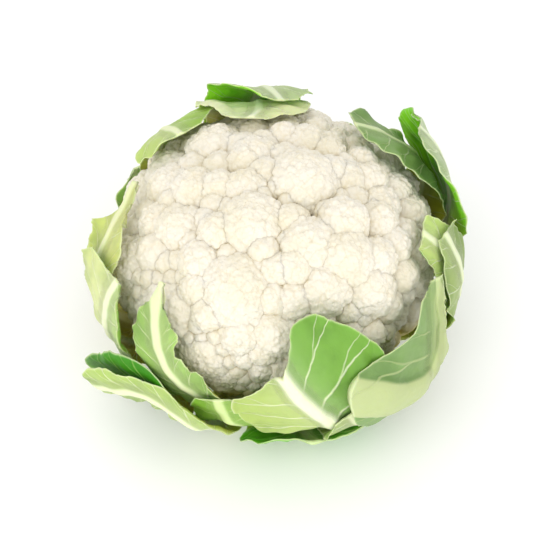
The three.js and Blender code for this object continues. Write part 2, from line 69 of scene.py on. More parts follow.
# Every floret seen from the front: right, up, radius of its outline, lift
FLORETS = [
    [-38, 60, 9, 0], [-56, 43, 6, 1], [-47, 50, 10, 0], [-26, 46, 13, 1], [-9, 43, 10, 0],
    [-8, 60, 14, 1], [4, 56, 6, 1], [17, 61, 13, 1], [35, 56, 9, 0], [14, 49, 10, 0],
    [25, 47, 7, 0], [12, 30, 16, 4], [27, 38, 7, 2], [33, 34, 8, 1], [-13, 29, 9, 0],
    [-10, 13, 14, 3], [8, 15, 7, 1], [-27, 10, 8, 1], [-42, 11, 11, 0], [-54, 14, 9, 0],
    [-61, -6, 16, 1], [-69, -18, 11, 1], [-35, -4, 9, 1], [-37, -17, 7, 1], [-47, -26, 14, 2],
    [-32, -30, 7, 1], [-16, -15, 17, 3], [1, -8, 7, 1], [-1, -22, 7, 1], [-30, -48, 14, 1],
    [-16, -39, 9, 0], [0, -38, 10, 1], [-6, -48, 7, 0], [-6, -57, 6, 0], [-15, -52, 5, 0],
    [-27, -62, 11, 0], [-43, -49, 8, -1], [-43, -60, 6, -1], [33, 14, 10, 7], [16, 3, 12, 5],
    [32, -3, 13, 7], [48, -4, 9, 5], [23, -17, 11, 4], [43, -17, 12, 4], [9, -22, 8, 1],
    [10, -7, 8, 3], [48, 14, 9, 2], [56, 3, 8, 2], [41, 43, 7, 1], [43, 33, 9, 1],
    [55, 43, 9, 1], [56, 30, 8, 0], [48, 22, 9, 0], [64, 33, 8, 0], [63, 18, 9, 0],
    [62, 8, 7, 0], [72, 21, 8, -1], [67, -1, 8, 0], [75, -16, 8, -2], [61, -13, 10, -7],
    [58, -32, 15, -7], [36, -27, 6, -1], [-63, 28, 13, 0], [-47, 30, 11, 0], [-35, 28, 11, 0],
    [-67, 18, 8, 0], [-25, 30, 8, 0], [3, -57, 8, 0], [22, -42, 13, -2], [40, -47, 12, -3],
    [-13, 42, 8, 0],
]
HIDDEN_FLORET_RADIUS = 12
HIDDEN_FLORET_TRIES = 185
FILLER_FLORET_RADIUS = 7.5
FILLER_FLORET_TRIES = 900
FILLER_FLORET_LIFT = -2
DOME_TO_OUTLINE = 1.12
LUMPS_PER_FLORET = 9

# Curd detail: knobs on the lumps of each floret, buds on the knobs, grains on the buds
KNOB_SPACING = 6.2
BUD_SPACING = 3.2
GRAIN_SPACING = 1.75
PIECE_TRIANGLES = 180000

# Each leaf from its base to its tip, innermost first. A station holds azimuth, elevation,
# lift, half widths left and right, sweep left and right, curl left and right.
# Looks: the blade's colours outside (left and right of the midrib) and inside, the colour
# of the ribs, gap between side veins and their lean, size of teeth and ruffles, mesh fineness.
LEAVES = [
    {
        "name": "leaf_left_inner", "rows": 12, "columns": 6, "fine": (190, 80),
        "outside": ("#8CB352", "#99BC60"), "inside": "#6FA436", "rib": "#DCE4B4",
        "vein_gap": 10, "vein_lean": 0.7, "tooth": 1.6, "ruffle": 0.9,
        "midrib": (5, 2.4, 2.4, 1.0), "bites": [(1, 0.5, 4, 8)],
        "stations": [
            [-20, -64, 0, 5, 5], [-18, -42, 0, 7, 7], [-17, -22, 0, 10, 10, 0.2, 0.2],
            [-20, -9, 2, 15, 14, 0.4, 0.3], [-27, -2, 3, 19, 15, 0.4, 0.3],
            [-33, 4, 4, 17, 9, 0.5, 0.3], [-36, 9, 4, 16, 12, 0.5, 0.3],
            [-39, 15, 4, 15, 10, 0.2, 0.3], [-41, 20, 5, 6, 5, 0.1, 0.3],
            [-42, 23, 5, 3, 3], [-44, 27, 5, 1.5, 1.5],
        ],
    },
    {
        "name": "leaf_left_upper", "rows": 10, "columns": 8, "fine": (130, 80),
        "outside": ("#BFCB6C", "#C8CE7C"), "inside": "#BCC672", "rib": "#E0E3B4",
        "vein_gap": 13, "vein_lean": 0.7, "tooth": 1.4, "ruffle": 0.9,
        "stations": [
            [-75, -64, 0, 5, 5], [-75, -42, 0, 8, 8], [-75, -18, 1, 14, 14, 0.2, 0.2],
            [-76, 2, 1, 15, 17, 0.2, 0.2], [-77, 14, 2, 14, 17, 0.2, 0.2, 4],
            [-80, 20, 2, 14, 13, 0.1, 0.2, 6], [-84, 24, 1, 6, 9, 0.1, 0.2, 1],
            [-91, 27, 1, 4, 6], [-99, 30, 1, 2, 3],
        ],
    },
    {
        "name": "leaf_back_left", "rows": 10, "columns": 8, "fine": (110, 90),
        "outside": ("#9ABE4A", "#B6CA74"), "inside": "#A5C45A", "rib": "#DFE4B8",
        "vein_gap": 13, "vein_lean": 0.7, "tooth": 1.2, "ruffle": 0.8,
        "stations": [
            [-135, -64, 0, 5, 5], [-135, -42, 0, 9, 9], [-135, -15, 0, 20, 18, 0.1, 0.2],
            [-136, 5, 1, 24, 13, 0.1, 0.2], [-134, 18, 2, 26, 14, 0.1, 0.3],
            [-131, 28, 2, 26, 24, 0.1, 0.3], [-128, 35, 2, 22, 27, 0.1, 0],
            [-125, 40, 2, 12, 18],
        ],
    },
    {
        "name": "leaf_back_inner", "rows": 10, "columns": 8, "fine": (110, 90),
        "outside": ("#D2DAA0", "#D8E0AE"), "inside": "#D0DA9E", "rib": "#E4E8C8",
        "vein_gap": 13, "vein_lean": 0.7, "tooth": 1.0, "ruffle": 0.6,
        "stations": [
            [-172, -64, 0, 5, 5], [-172, -42, 0, 9, 9], [-172, -15, 0, 20, 20],
            [-173, 8, 0, 26, 28], [-173, 26, 0, 28, 32], [-172, 37, -1, 27, 33],
            [-170, 45, -1, 22, 25], [-163, 53, 0, 8, 14],
        ],
    },
    {
        "name": "leaf_back_right", "rows": 10, "columns": 8, "fine": (120, 90),
        "outside": ("#7A9C54", "#789855"), "inside": "#5C9E26", "rib": "#C9D6A4",
        "vein_gap": 13, "vein_lean": 0.7, "tooth": 1.0, "ruffle": 0.6,
        "stations": [
            [122, -64, 0, 5, 5], [122, -42, 0, 9, 9], [121, -15, 0, 20, 18, 0.1, 0.1],
            [120, 5, 1, 29, 14, 0.2, 0.1], [121, 18, 2, 31, 14, 0.2, 0.1],
            [124, 28, 2, 26, 17, 0.1, 0.1, 0, 2], [128, 37, 3, 18, 17, 0, 0.1, 0, 2],
            [132, 44, 4, 10, 11, 0, 0, 0, 2],
        ],
    },
    {
        "name": "leaf_right", "rows": 10, "columns": 6, "fine": (120, 80),
        "outside": ("#B6CB70", "#AEC868"), "inside": "#63A81C", "rib": "#E2E9C0",
        "vein_gap": 10, "vein_lean": 0.6, "tooth": 1.0, "ruffle": 0.7,
        "stations": [
            [76, -64, 0, 5, 5], [75, -42, 0, 8, 8], [75, -18, 1, 14, 14, 0.2, 0.1],
            [76, -3, 1, 16, 16, 0.2, 0.1], [75, 8, 2, 16, 16, 0.2, 0.1],
            [74, 16, 3, 16, 15, 0.2, 0.1], [73, 22, 3, 15, 14, 0.1, 0.1], [72, 27, 2, 12, 12],
        ],
    },
    {
        "name": "leaf_front_low_left", "rows": 10, "columns": 6, "fine": (90, 90),
        "outside": ("#7EB22C", "#88B838"), "inside": "#7DBB33", "rib": "#D0E29A",
        "vein_gap": 11, "vein_lean": 0.6, "tooth": 1.4, "ruffle": 1.0,
        "stations": [
            [8, -64, 0, 5, 5], [5, -44, 0, 8, 8], [-5, -26, 2, 14, 16],
            [-13, -13, 4, 18, 24], [-15, -5, 5, 16, 24], [-16, 0, 5, 10, 14],
        ],
    },
    {
        "name": "leaf_left", "rows": 12, "columns": 8, "fine": (120, 90),
        "outside": ("#CCD592", "#A8C272"), "inside": "#8DBB42", "rib": "#E6EAC4",
        "vein_gap": 13, "vein_lean": 0.7, "tooth": 1.2, "ruffle": 0.8,
        "stations": [
            [-78, -60, 5, 5, 5], [-74, -42, 5, 9, 9], [-67, -20, 4, 18, 18],
            [-63, -5, 3, 26, 22], [-61, 5, 4, 30, 20, 0, 0, 5], [-60, 12, 5, 28, 11, 0, 0, 5],
            [-60, 17, 5, 22, 4, 0, 0, 5],
        ],
    },
    {
        "name": "leaf_left_low", "rows": 10, "columns": 6, "fine": (150, 80),
        "outside": ("#2F7E08", "#388810"), "inside": "#357D10", "rib": "#94BC5C",
        "vein_gap": 11, "vein_lean": 0.6, "tooth": 1.5, "ruffle": 1.0,
        "stations": [
            [-51, -60, 5, 4, 4], [-48, -42, 5, 7, 7], [-40, -26, 5, 10, 12, 0.2, 0.2],
            [-39, -16, 5, 14, 22, 0.2, 0], [-43, -12, 7, 16, 26, 0.2, 0],
            [-50, -12, 11, 16, 17, 0.2, 0], [-57, -13, 17, 12, 11, 0.1, 0],
            [-61, -14, 22, 5, 5],
        ],
    },
    {
        "name": "leaf_front", "rows": 12, "columns": 10, "fine": (200, 190),
        "outside": ("#A8BC66", "#72A23C"), "inside": "#6FA92F", "rib": "#E8EDCA",
        "vein_gap": 13, "vein_lean": 0, "tooth": 0.9, "ruffle": 0.8, "roll": 1.5,
        "midrib": (3.4, 3.6, 2.6, 2.2),
        "stations": [
            [28, -60, 0, 4, 4], [28, -44, 0, 9, 9], [26, -34, 2, 14, 16, 0.5, 0.5],
            [24, -24, 5, 24, 34, 0.9, 0.7], [19, -15, 7, 32, 40, 0.9, 0.5],
            [12, -3, 8, 31, 40, 0.9, 0.4], [7, 4, 8, 17, 32, 0.9, 0.65],
            [2, 11, 7, 4, 15, 0.5, 1.0],
        ],
    },
    {
        "name": "leaf_front_right_inner", "rows": 10, "columns": 6, "fine": (110, 90),
        "outside": ("#9CB066", "#A8BA74"), "inside": "#9CBB5C", "rib": "#DFE5BA",
        "vein_gap": 7, "vein_lean": 0.2, "tooth": 1.2, "ruffle": 0.9,
        "stations": [
            [42, -60, 1, 4, 4], [41, -46, 1, 8, 8], [37, -34, 3, 14, 16], [32, -25, 5, 20, 22],
            [28, -18, 6, 22, 24], [24, -11, 6, 18, 20], [21, -5, 6, 10, 12],
        ],
    },
    {
        "name": "leaf_right_outer", "rows": 10, "columns": 6, "fine": (120, 80),
        "outside": ("#90A65C", "#849C52"), "inside": "#6BAA25", "rib": "#DCE3BC",
        "vein_gap": 11, "vein_lean": 0.6, "tooth": 1.0, "ruffle": 0.7,
        "stations": [
            [84, -60, 5, 5, 5], [83, -42, 5, 8, 8], [80, -20, 5, 16, 16],
            [77, -4, 4, 20, 20], [75, 7, 3, 19, 20], [75, 15, 3, 13, 18],
            [77, 21, 3, 6, 12],
        ],
    },
    {
        "name": "leaf_back_right_outer", "rows": 10, "columns": 8, "fine": (130, 100),
        # The inside green is brightened as painted light coming through the leaf
        "outside": ("#AEC08C", "#B6C698"), "inside": "#78C412", "rib": "#DDE5C4",
        "vein_gap": 13, "vein_lean": 0.7, "tooth": 1.4, "ruffle": 0.8,
        "stations": [
            [112, -60, 5, 5, 5], [111, -42, 5, 9, 9], [108, -16, 5, 18, 22, 0.1, 0.2],
            [107, 2, 5, 24, 38, 0.1, 0.3], [108, 13, 8, 24, 40, 0, 0.35, 0, 4],
            [110, 20, 12, 22, 38, 0, 0.35, 0, 5], [113, 25, 15, 16, 30, 0, 0.3, 0, 4],
            [117, 29, 17, 8, 18],
        ],
    },
    {
        "name": "leaf_back", "rows": 10, "columns": 8, "fine": (120, 100),
        # The inside green is brightened as painted light coming through the leaf
        "outside": ("#A8BC80", "#A3B87A"), "inside": "#96E22C", "rib": "#DAE2BE",
        "vein_gap": 13, "vein_lean": 0.7, "tooth": 1.2, "ruffle": 0.8,
        "stations": [
            [-170, -60, 5, 5, 5], [-170, -42, 5, 9, 9], [-171, -15, 4, 22, 22],
            [-172, 6, 4, 28, 26], [-174, 20, 6, 26, 27, 0, 0, 0, 5],
            [-176, 29, 7, 24, 25, 0, 0, 0, 8], [-179, 36, 5, 22, 20, 0, 0, 0, 7],
            [-183, 42, 3, 12, 12, 0, 0, 0, 3],
        ],
    },
    {
        "name": "leaf_back_low_left", "rows": 10, "columns": 6, "fine": (80, 80),
        "outside": ("#97B85C", "#9FBE66"), "inside": "#7DAE3A", "rib": "#DDE5BC",
        "vein_gap": 13, "vein_lean": 0.7, "tooth": 1.4, "ruffle": 0.8,
        "stations": [
            [-126, -60, 5, 5, 5], [-126, -42, 5, 10, 10], [-124, -24, 4, 24, 24],
            [-123, -16, 3, 32, 20], [-123, -10, 3, 32, 16], [-125, -4, 3, 24, 10],
            [-128, 1, 3, 12, 5],
        ],
    },
    {
        "name": "leaf_back_low_right", "rows": 10, "columns": 6, "fine": (80, 80),
        "outside": ("#92B264", "#98B66A"), "inside": "#7DAE3A", "rib": "#DAE2BC",
        "vein_gap": 13, "vein_lean": 0.7, "tooth": 1.4, "ruffle": 0.8,
        "stations": [
            [150, -60, 5, 5, 5], [150, -42, 5, 10, 10], [150, -24, 4, 24, 26],
            [150, -13, 3, 32, 34], [150, -5, 3, 31, 33], [149, 1, 3, 22, 24], [149, 6, 3, 10, 12],
        ],
    },
    {
        "name": "leaf_front_left", "rows": 12, "columns": 6, "fine": (170, 80),
        "outside": ("#96B64A", "#A4BE5E"), "inside": "#8DB842", "rib": "#E2E9BE",
        "vein_gap": 10, "vein_lean": 0.6, "tooth": 1.0, "ruffle": 0.8,
        "stations": [
            [-24, -60, 5, 4, 4], [-22, -44, 5, 8, 8], [-20, -26, 6, 12, 12, 0.2, 0.2],
            [-23, -13, 8, 13, 13, 0.3, 0.3], [-31, -9, 9, 12, 13, 0.3, 0.3],
            [-39, -9, 10, 10, 12, 0.3, 0.3], [-47, -11, 13, 10, 12, 0.2, 0.2],
            [-53, -13, 17, 8, 10, 0.1, 0.1], [-57, -14, 20, 4, 6],
        ],
    },
    {
        "name": "leaf_front_right", "rows": 13, "columns": 10, "fine": (160, 150),
        "outside": ("#7C9C5A", "#A6B87A"), "inside": "#7DAE3A", "rib": "#B6C28A",
        "vein_gap": 13, "vein_lean": 0, "tooth": 1.2, "ruffle": 0.7, "roll": 0,
        "band": [
            [16, 7, 8, 3.5], [22, 3, 8.5, 4], [28, 0, 8.5, 4], [35, -5, 8, 4],
            [43, -9, 7.5, 4], [50, -11, 7, 3.5], [54, -6, 6, 3], [57, 0, 5, 2.5],
            [58, 6, 4, 2], [59, 12, 3, 1.5], [60, 17, 1.5, 1],
        ],
        "stations": [
            [55, -60, 3, 4, 4], [54, -42, 4, 9, 9], [50, -24, 9, 14, 14, 0.2, 0, 2],
            [49, -17, 11, 42, 16, 0.25, 0, 2], [49, -11, 10, 56, 16, 0.42, 0, 2],
            [50, -4, 8, 43, 14, 0.36, 0, 3], [52, 2, 6, 28, 12, 0.22, 0, 5],
            [54, 7, 5, 19, 10, 0.05, 0, 5], [56, 12, 5, 9, 8],
            [59, 15, 4, 5, 5], [61, 18, 4, 4, 3],
        ],
    },
    {
        "name": "leaf_front_low", "rows": 10, "columns": 8, "fine": (90, 110),
        "outside": ("#5CAE14", "#66B622"), "inside": "#5CAE14", "rib": "#B4D284",
        "vein_gap": 11, "vein_lean": 0.5, "tooth": 1.6, "ruffle": 0.8,
        "stations": [
            [2, -60, 5, 4, 4], [3, -46, 6, 8, 8], [8, -34, 8, 20, 22],
            [10, -26, 10, 30, 38], [11, -21, 11, 32, 42], [12, -17, 11, 26, 30],
        ],
    },
]


def unit(vectors):
    """Each vector divided by its own length."""
    return vectors / np.maximum(np.linalg.norm(vectors, axis=-1, keepdims=True), 1e-9)


def wobble(place, seed, terms=4):
    """A smooth made-up line between about -1 and 1: a sum of sines of unrelated lengths."""
    random = np.random.default_rng(seed)
    total = 0
    for pace, shift in zip(random.uniform(0.6, 2.2, terms), random.uniform(0, 6.28, terms)):
        total = total + np.sin(place * pace + shift)
    return total / terms * 1.3


def round_foot(q, shape):
    """Foot and normal on a flattened round of rays from its middle through points q.

    Above the middle (across/radius)^2 + (z/up)^2 = 1; below it the power is `boxy`.
    """
    across = np.maximum(np.hypot(q[..., 0], q[..., 1]), 1e-6)
    high = q[..., 2] >= 0
    power = np.where(high, 2.0, shape["boxy"])
    half = np.where(high, shape["up"], shape["down"])
    total = (across / shape["radius"]) ** power + (np.abs(q[..., 2]) / half) ** power
    foot = q * (total ** (-1 / power))[..., None]
    foot_across = np.hypot(foot[..., 0], foot[..., 1])
    slope_across = foot_across ** (power - 1) / shape["radius"] ** power
    slope_up = np.abs(foot[..., 2]) ** (power - 1) / half**power * np.sign(q[..., 2])
    parts = [q[..., 0] / across * slope_across, q[..., 1] / across * slope_across, slope_up]
    return foot, unit(np.stack(parts, axis=-1))


def settle(q):
    """Foot on the jacket round straight below q, and the height of q over it."""
    foot, normal = round_foot(q, JACKET)
    for _ in range(4):
        height = np.sum((q - foot) * normal, axis=-1)
        foot, normal = round_foot(q - normal * height[..., None], JACKET)
    return foot, np.sum((q - foot) * normal, axis=-1)


def heading(azimuth, elevation):
    """Unit vector for an azimuth from the front and an elevation, in degrees."""
    a, e = np.radians(azimuth), np.radians(elevation)
    return np.stack([np.cos(e) * np.sin(a), -np.cos(e) * np.cos(a), np.sin(e)], axis=-1)


def picture_axes():
    """Rightward, upward and backward directions of the picture."""
    e = math.radians(EYE_ELEVATION)
    return np.array([[1, 0, 0], [0, math.sin(e), math.cos(e)], [0, -math.cos(e), math.sin(e)]])


def sighted_foot(right, up, depth):
    """Foot on the curd round over the place where a line of sight comes within `depth` of it."""
    rightward, upward, backward = picture_axes()
    eye = backward * EYE_DISTANCE - upward * EYE_DROP
    aim = unit(right[:, None] * rightward + up[:, None] * upward - eye)

    def meet(half):
        across = CURD["radius"] - depth
        squash = np.stack([across, across, half - depth], axis=1)
        origin, along = eye / squash, aim / squash
        a = np.sum(along * along, axis=1)
        b = np.sum(along * origin, axis=1)
        inside = np.maximum(b * b - a * (np.sum(origin * origin, axis=1) - 1), 0)
        return eye + aim * ((-b - np.sqrt(inside)) / a)[:, None]

    high, low = meet(CURD["up"]), meet(CURD["down"])
    return round_foot(np.where(high[:, 2:] >= 0, high, low), CURD)


def floret_domes():
    """Middle, outward normal and radius of every floret dome, those in sight first."""
    seen = np.array(FLORETS, float)
    depth = DOME_TO_OUTLINE * seen[:, 2] - seen[:, 3]
    feet, normals = sighted_foot(seen[:, 0], seen[:, 1], depth)
    florets = [(f, n, r, lift) for f, n, r, lift in zip(feet, normals, seen[:, 2], seen[:, 3])]
    def fill(tries, size, spread, apart, lift):
        for k in range(tries):
            z = 1 - 1.75 * (k + 0.5) / tries
            flat = math.sqrt(1 - z * z)
            half = CURD["up"] if z > 0 else CURD["down"]
            q = np.array([flat * math.cos(GOLDEN * k), flat * math.sin(GOLDEN * k), z])
            foot, normal = round_foot(q * [CURD["radius"], CURD["radius"], half], CURD)
            radius = size * (0.85 + 0.3 * math.sin(2.4 * k))
            gaps = [np.linalg.norm(f[0] - foot) > apart * (f[2] + radius) for f in florets]
            if all(gaps):
                florets.append((foot, normal, radius, lift + spread * math.sin(1.7 * k)))

    fill(HIDDEN_FLORET_TRIES, HIDDEN_FLORET_RADIUS, 1.2, 0.82, 0)
    fill(FILLER_FLORET_TRIES, FILLER_FLORET_RADIUS, 0.6, 0.7, FILLER_FLORET_LIFT)
    normals = np.array([f[1] for f in florets])
    radii = DOME_TO_OUTLINE * np.array([f[2] for f in florets])
    lifts = np.array([f[3] for f in florets])
    centres = np.array([f[0] for f in florets]) + normals * (lifts - radii)[:, None]
    return centres, normals, radii


def sides_of(normal):
    """Two directions square to a normal and to each other."""
    side = unit(np.array([normal[2], 0, -normal[0]]))
    return side, np.cross(normal, side)


def floret_lumps(normal, radius, turn):
    """Middles (from the dome's middle) and radius of the rounds over one floret's cap.

    They follow the golden angle, each leaning out by acos(1 - 0.62 (k + 0.4) / count).
    """
    side, other = sides_of(normal)
    k = np.arange(LUMPS_PER_FLORET)
    lean = np.arccos(1 - 0.62 * (k + 0.4) / LUMPS_PER_FLORET)[:, None]
    spin = (GOLDEN * k + turn)[:, None]
    out = normal * np.cos(lean) + np.sin(lean) * (side * np.cos(spin) + other * np.sin(spin))
    return out * 0.42 * radius, np.full(LUMPS_PER_FLORET, 0.62 * radius)


def ray_reach(directions, centres, radii):
    """How far rays from the origin run to the far side of each ball, 0 where they miss."""
    along = directions @ centres.T
    inside = along**2 - np.sum(centres**2, axis=1) + radii**2
    hit = along + np.sqrt(np.maximum(inside, 0))
    return np.where((along > 0) & (inside > 0), hit, 0)


def eased_union(reaches, ease):
    """The farthest reach of each row, rounded over by `ease`, and the gap down to the next."""
    top = np.partition(reaches, -2, axis=1)[:, -2:]
    gap = top[:, 1] - top[:, 0]
    return top[:, 1] + np.maximum(ease - gap, 0) ** 2 / (4 * ease), gap


def floret_reach(rays, dome, balls):
    """Reach of rays through a dome and each finer set of balls in turn, and the gap at each."""
    reach, gaps = np.full(len(rays), dome), []
    for middles, sizes, ease in balls:
        reaches = ray_reach(rays, middles, sizes)
        reach, gap = eased_union(np.concatenate([reach[:, None], reaches], axis=1), ease)
        gaps.append(gap)
    return reach, gaps


def geodesic(frequency):
    """Unit ball of 20 faces, each cut into frequency^2 triangles: points and triangles."""
    g = (1 + math.sqrt(5)) / 2
    corners = unit(np.array([
        [-1, g, 0], [1, g, 0], [-1, -g, 0], [1, -g, 0], [0, -1, g], [0, 1, g],
        [0, -1, -g], [0, 1, -g], [g, 0, -1], [g, 0, 1], [-g, 0, -1], [-g, 0, 1],
    ], dtype=float))
    faces = np.array([
        [0, 11, 5], [0, 5, 1], [0, 1, 7], [0, 7, 10], [0, 10, 11], [1, 5, 9], [5, 11, 4],
        [11, 10, 2], [10, 7, 6], [7, 1, 8], [3, 9, 4], [3, 4, 2], [3, 2, 6], [3, 6, 8],
        [3, 8, 9], [4, 9, 5], [2, 4, 11], [6, 2, 10], [8, 6, 7], [9, 8, 1],
    ])
    i, j = np.meshgrid(np.arange(frequency + 1), np.arange(frequency + 1), indexing="ij")
    kept = (i + j) <= frequency
    number = np.full(i.shape, -1)
    number[kept] = np.arange(kept.sum())
    weights = np.stack([frequency - i[kept] - j[kept], i[kept], j[kept]], axis=1) / frequency
    points = unit(np.einsum("pw,fwx->fpx", weights, corners[faces]))
    up = (i + j) < frequency
    down = (i + j) < frequency - 1
    a, b = i[up], j[up]
    first = np.stack([number[a, b], number[a + 1, b], number[a, b + 1]], axis=1)
    a, b = i[down], j[down]
    second = np.stack([number[a + 1, b], number[a + 1, b + 1], number[a, b + 1]], axis=1)
    one = np.concatenate([first, second])
    triangles = (one[None] + np.arange(20)[:, None, None] * kept.sum()).reshape(-1, 3)
    flat = points.reshape(-1, 3)
    _, keep, back = np.unique(np.round(flat, 5), axis=0, return_index=True, return_inverse=True)
    return flat[keep], back.reshape(-1)[triangles]


def scattered(radius, spacing, lowest, random):
    """Directions about `spacing` apart over a ball's cap, on a shaken golden spiral."""
    count = max(int(2 * math.pi * radius**2 * (1 - lowest) / (0.87 * spacing**2)), 6)
    z = 1 - (1 - lowest) * (np.arange(count) + 0.5) / count
    spin = GOLDEN * np.arange(count)
    flat = np.sqrt(1 - z * z)
    spots = np.stack([flat * np.cos(spin), flat * np.sin(spin), z], axis=1)
    return unit(spots + random.normal(0, 0.24 * spacing / radius, spots.shape))


def floret_surface(number, centre, normal, radius, others, in_sight):
    """One floret: rays from its middle to a union of balls of five sizes.

    A dome carries lumps, the lumps carry knobs, the knobs buds and the buds grains. Each ball
    sinks in the surface below until only its cap shows, so that neighbours meet in a crease
    as deep as a share of their spacing: radius = (spacing^2 / 4 + crease^2) / (2 crease).
    The painted crease shade is near 1 where two balls meet, or the floret runs into another one.
    """
    random = np.random.default_rng(500 + number)
    side, other = sides_of(normal)
    frame = np.stack([side, other, normal])
    points, triangles = geodesic(int(round((2.05 if in_sight else 1.1) * radius)))
    lean = np.arccos(np.clip(points[:, 2], -1, 1))
    moved = lean - 0.4 * np.sin(lean)
    widen = np.sin(moved) / np.maximum(np.hypot(points[:, 0], points[:, 1]), 1e-6)
    points = np.stack([points[:, 0] * widen, points[:, 1] * widen, np.cos(moved)], axis=1)
    directions = unit(points) @ frame

    lump_middles, lump_radii = floret_lumps(normal, radius, 2.1 * number)
    balls = [(lump_middles, lump_radii * random.uniform(0.96, 1.03, len(lump_radii)), 0.05 * radius)]
    for spacing, deep, lowest in (
        (min(KNOB_SPACING, 0.5 * radius), 0.15, -0.3),
        (min(BUD_SPACING, 0.3 * radius), 0.17, -0.25),
        (GRAIN_SPACING, 0.14, -0.2),
    ):
        spots = scattered(radius, spacing, lowest, random) @ frame
        crease = deep * spacing * random.uniform(0.75, 1.25, len(spots))
        sizes = (spacing**2 / 4 + crease**2) / (2 * crease)
        sink = np.sqrt(sizes**2 - 0.36 * spacing**2)
        reach = floret_reach(spots, 0.97 * radius, balls)[0]
        balls.append((spots * (reach - sink)[:, None], sizes, 0.05 * spacing))
    skin, gaps = floret_reach(directions, 0.97 * radius, balls)
    place = centre + directions * skin[:, None]

    # Painted crease shade: strongest where the floret runs into a neighbour, then where its balls meet
    far = np.linalg.norm(place[:, None] - others[0][None], axis=2) - 1.01 * others[1]
    apart = np.maximum(far.min(axis=1), 0)
    crease_shade = 0.95 * np.exp(-apart / 1.2)
    for share, width, gap in zip((0.45, 0.25, 0.12, 0.05), (0.4, 0.2, 0.12, 0.08), gaps):
        crease_shade = np.maximum(crease_shade, share * np.exp(-gap / width))
    return place, triangles, crease_shade


def mesh_piece(name, points, polygons, values=None, uvs=None):
    """A smooth mesh object from points in mm about the head, with named values per point."""
    mesh = bpy.data.meshes.new(name)
    mesh.vertices.add(len(points))
    mesh.vertices.foreach_set("co", ((points + HEAD_CENTRE) / 1000).astype(np.float32).ravel())
    corners = polygons.shape[1]
    mesh.loops.add(polygons.size)
    mesh.loops.foreach_set("vertex_index", polygons.astype(np.int32).ravel())
    mesh.polygons.add(len(polygons))
    starts = np.arange(0, polygons.size, corners, dtype=np.int32)
    mesh.polygons.foreach_set("loop_start", starts)
    mesh.update(calc_edges=True)
    mesh.polygons.foreach_set("use_smooth", np.ones(len(polygons), bool))
    for key, numbers in (values or {}).items():
        layer = mesh.attributes.new(key, "FLOAT", "POINT")
        layer.data.foreach_set("value", numbers.astype(np.float32).ravel())
    if uvs is not None:
        layer = mesh.uv_layers.new(name="blade")
        layer.data.foreach_set("uv", uvs[polygons.ravel()].astype(np.float32).ravel())
    mesh.validate()
    piece = bpy.data.objects.new(name, mesh)
    bpy.context.scene.collection.objects.link(piece)
    return piece


def hang(piece, node, material):
    """Gives a piece its material, body and slot, and hides the CAD node that it stands for."""
    piece.data.materials.append(material)
    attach(piece, "root")
    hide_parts(node)
    return piece


def joined(parts):
    """Several (points, triangles, painted crease shade) sets as one."""
    starts = np.cumsum([0] + [len(part[0]) for part in parts[:-1]])
    points = np.concatenate([part[0] for part in parts])
    triangles = np.concatenate([part[1] + start for part, start in zip(parts, starts)])
    return points, triangles, np.concatenate([part[2] for part in parts])


def core_surface():
    """The body under the florets: the core round, ridged below by the branches that carry them.

    Ridges run down to the stump: radius times 1 + 0.03 sin(11 azimuth) where it faces down.
    """
    points, triangles = geodesic(40)
    foot, _ = round_foot(points, CURD_CORE)
    azimuth = np.arctan2(points[:, 1], points[:, 0])
    down = np.clip(-points[:, 2] * 2, 0, 1)
    foot = foot * (1 - 0.05 * down * (0.5 - 0.5 * np.sin(11 * azimuth)))[:, None]
    # Painted crease shade of 0.6 over the whole core, which lies in shade under the florets
    return foot, triangles, np.full(len(foot), 0.6)


def make_curd(material):
    """The florets in a few pieces, each under PIECE_TRIANGLES, and the core that carries them."""
    centres, normals, radii = floret_domes()
    order = np.argsort(np.where(normals[:, 2] > 0.8, -9, np.arctan2(normals[:, 0], normals[:, 1])))
    gathered, count, made = [], 0, 0
    for number in order:
        near = np.linalg.norm(centres - centres[number], axis=1) < radii + radii[number] + 6
        near[number] = False
        part = floret_surface(
            number, centres[number], normals[number], radii[number],
            (centres[near], radii[near]), number < len(FLORETS),
        )
        if gathered and count + len(part[1]) > PIECE_TRIANGLES:
            made += 1
            points, triangles, crease_shade = joined(gathered)
            piece = mesh_piece(f"curd_florets_{made}", points, triangles, {"crease_shade": crease_shade})
            hang(piece, "curd", material)
            gathered, count = [], 0
        gathered.append(part)
        count += len(part[1])
    points, triangles, crease_shade = joined(gathered + [core_surface()])
    piece = mesh_piece(f"curd_florets_{made + 1}", points, triangles, {"crease_shade": crease_shade})
    hang(piece, "curd", material)
    return centres, normals, radii


# The cover map over azimuth and elevation: how high the jacket round is already covered
CELL = 2.5
CELLS_ROUND = 144
CELLS_UP = 67
LOWEST = -82.5
BARE = -30


def map_place(foot):
    """Column and row of a foot on the cover map, in cells."""
    azimuth = np.degrees(np.arctan2(foot[..., 0], -foot[..., 1]))
    elevation = np.degrees(np.arctan2(foot[..., 2], np.hypot(foot[..., 0], foot[..., 1])))
    return azimuth / CELL, (elevation - LOWEST) / CELL


def cover_points(cover, q):
    """Raises the map to the height of each point q where it is lower."""
    foot, height = settle(q.reshape(-1, 3))
    column, row = map_place(foot)
    column = np.floor(column + 0.5).astype(int) % CELLS_ROUND
    row = np.clip(np.floor(row + 0.5).astype(int), 0, CELLS_UP - 1)
    np.maximum.at(cover, (row, column), height)


def ride_map(cover):
    """The cover with each peak widened by two cells, then evened out by one."""

    def around(cells, reach, gather):
        padded = np.pad(cells, ((reach, reach), (0, 0)), mode="edge")
        padded = np.pad(padded, ((0, 0), (reach, reach)), mode="wrap")
        span = range(2 * reach + 1)
        parts = [padded[i:i + CELLS_UP, j:j + CELLS_ROUND] for i in span for j in span]
        return gather(np.stack(parts), axis=0)

    return around(around(cover, 2, np.max), 1, np.mean)


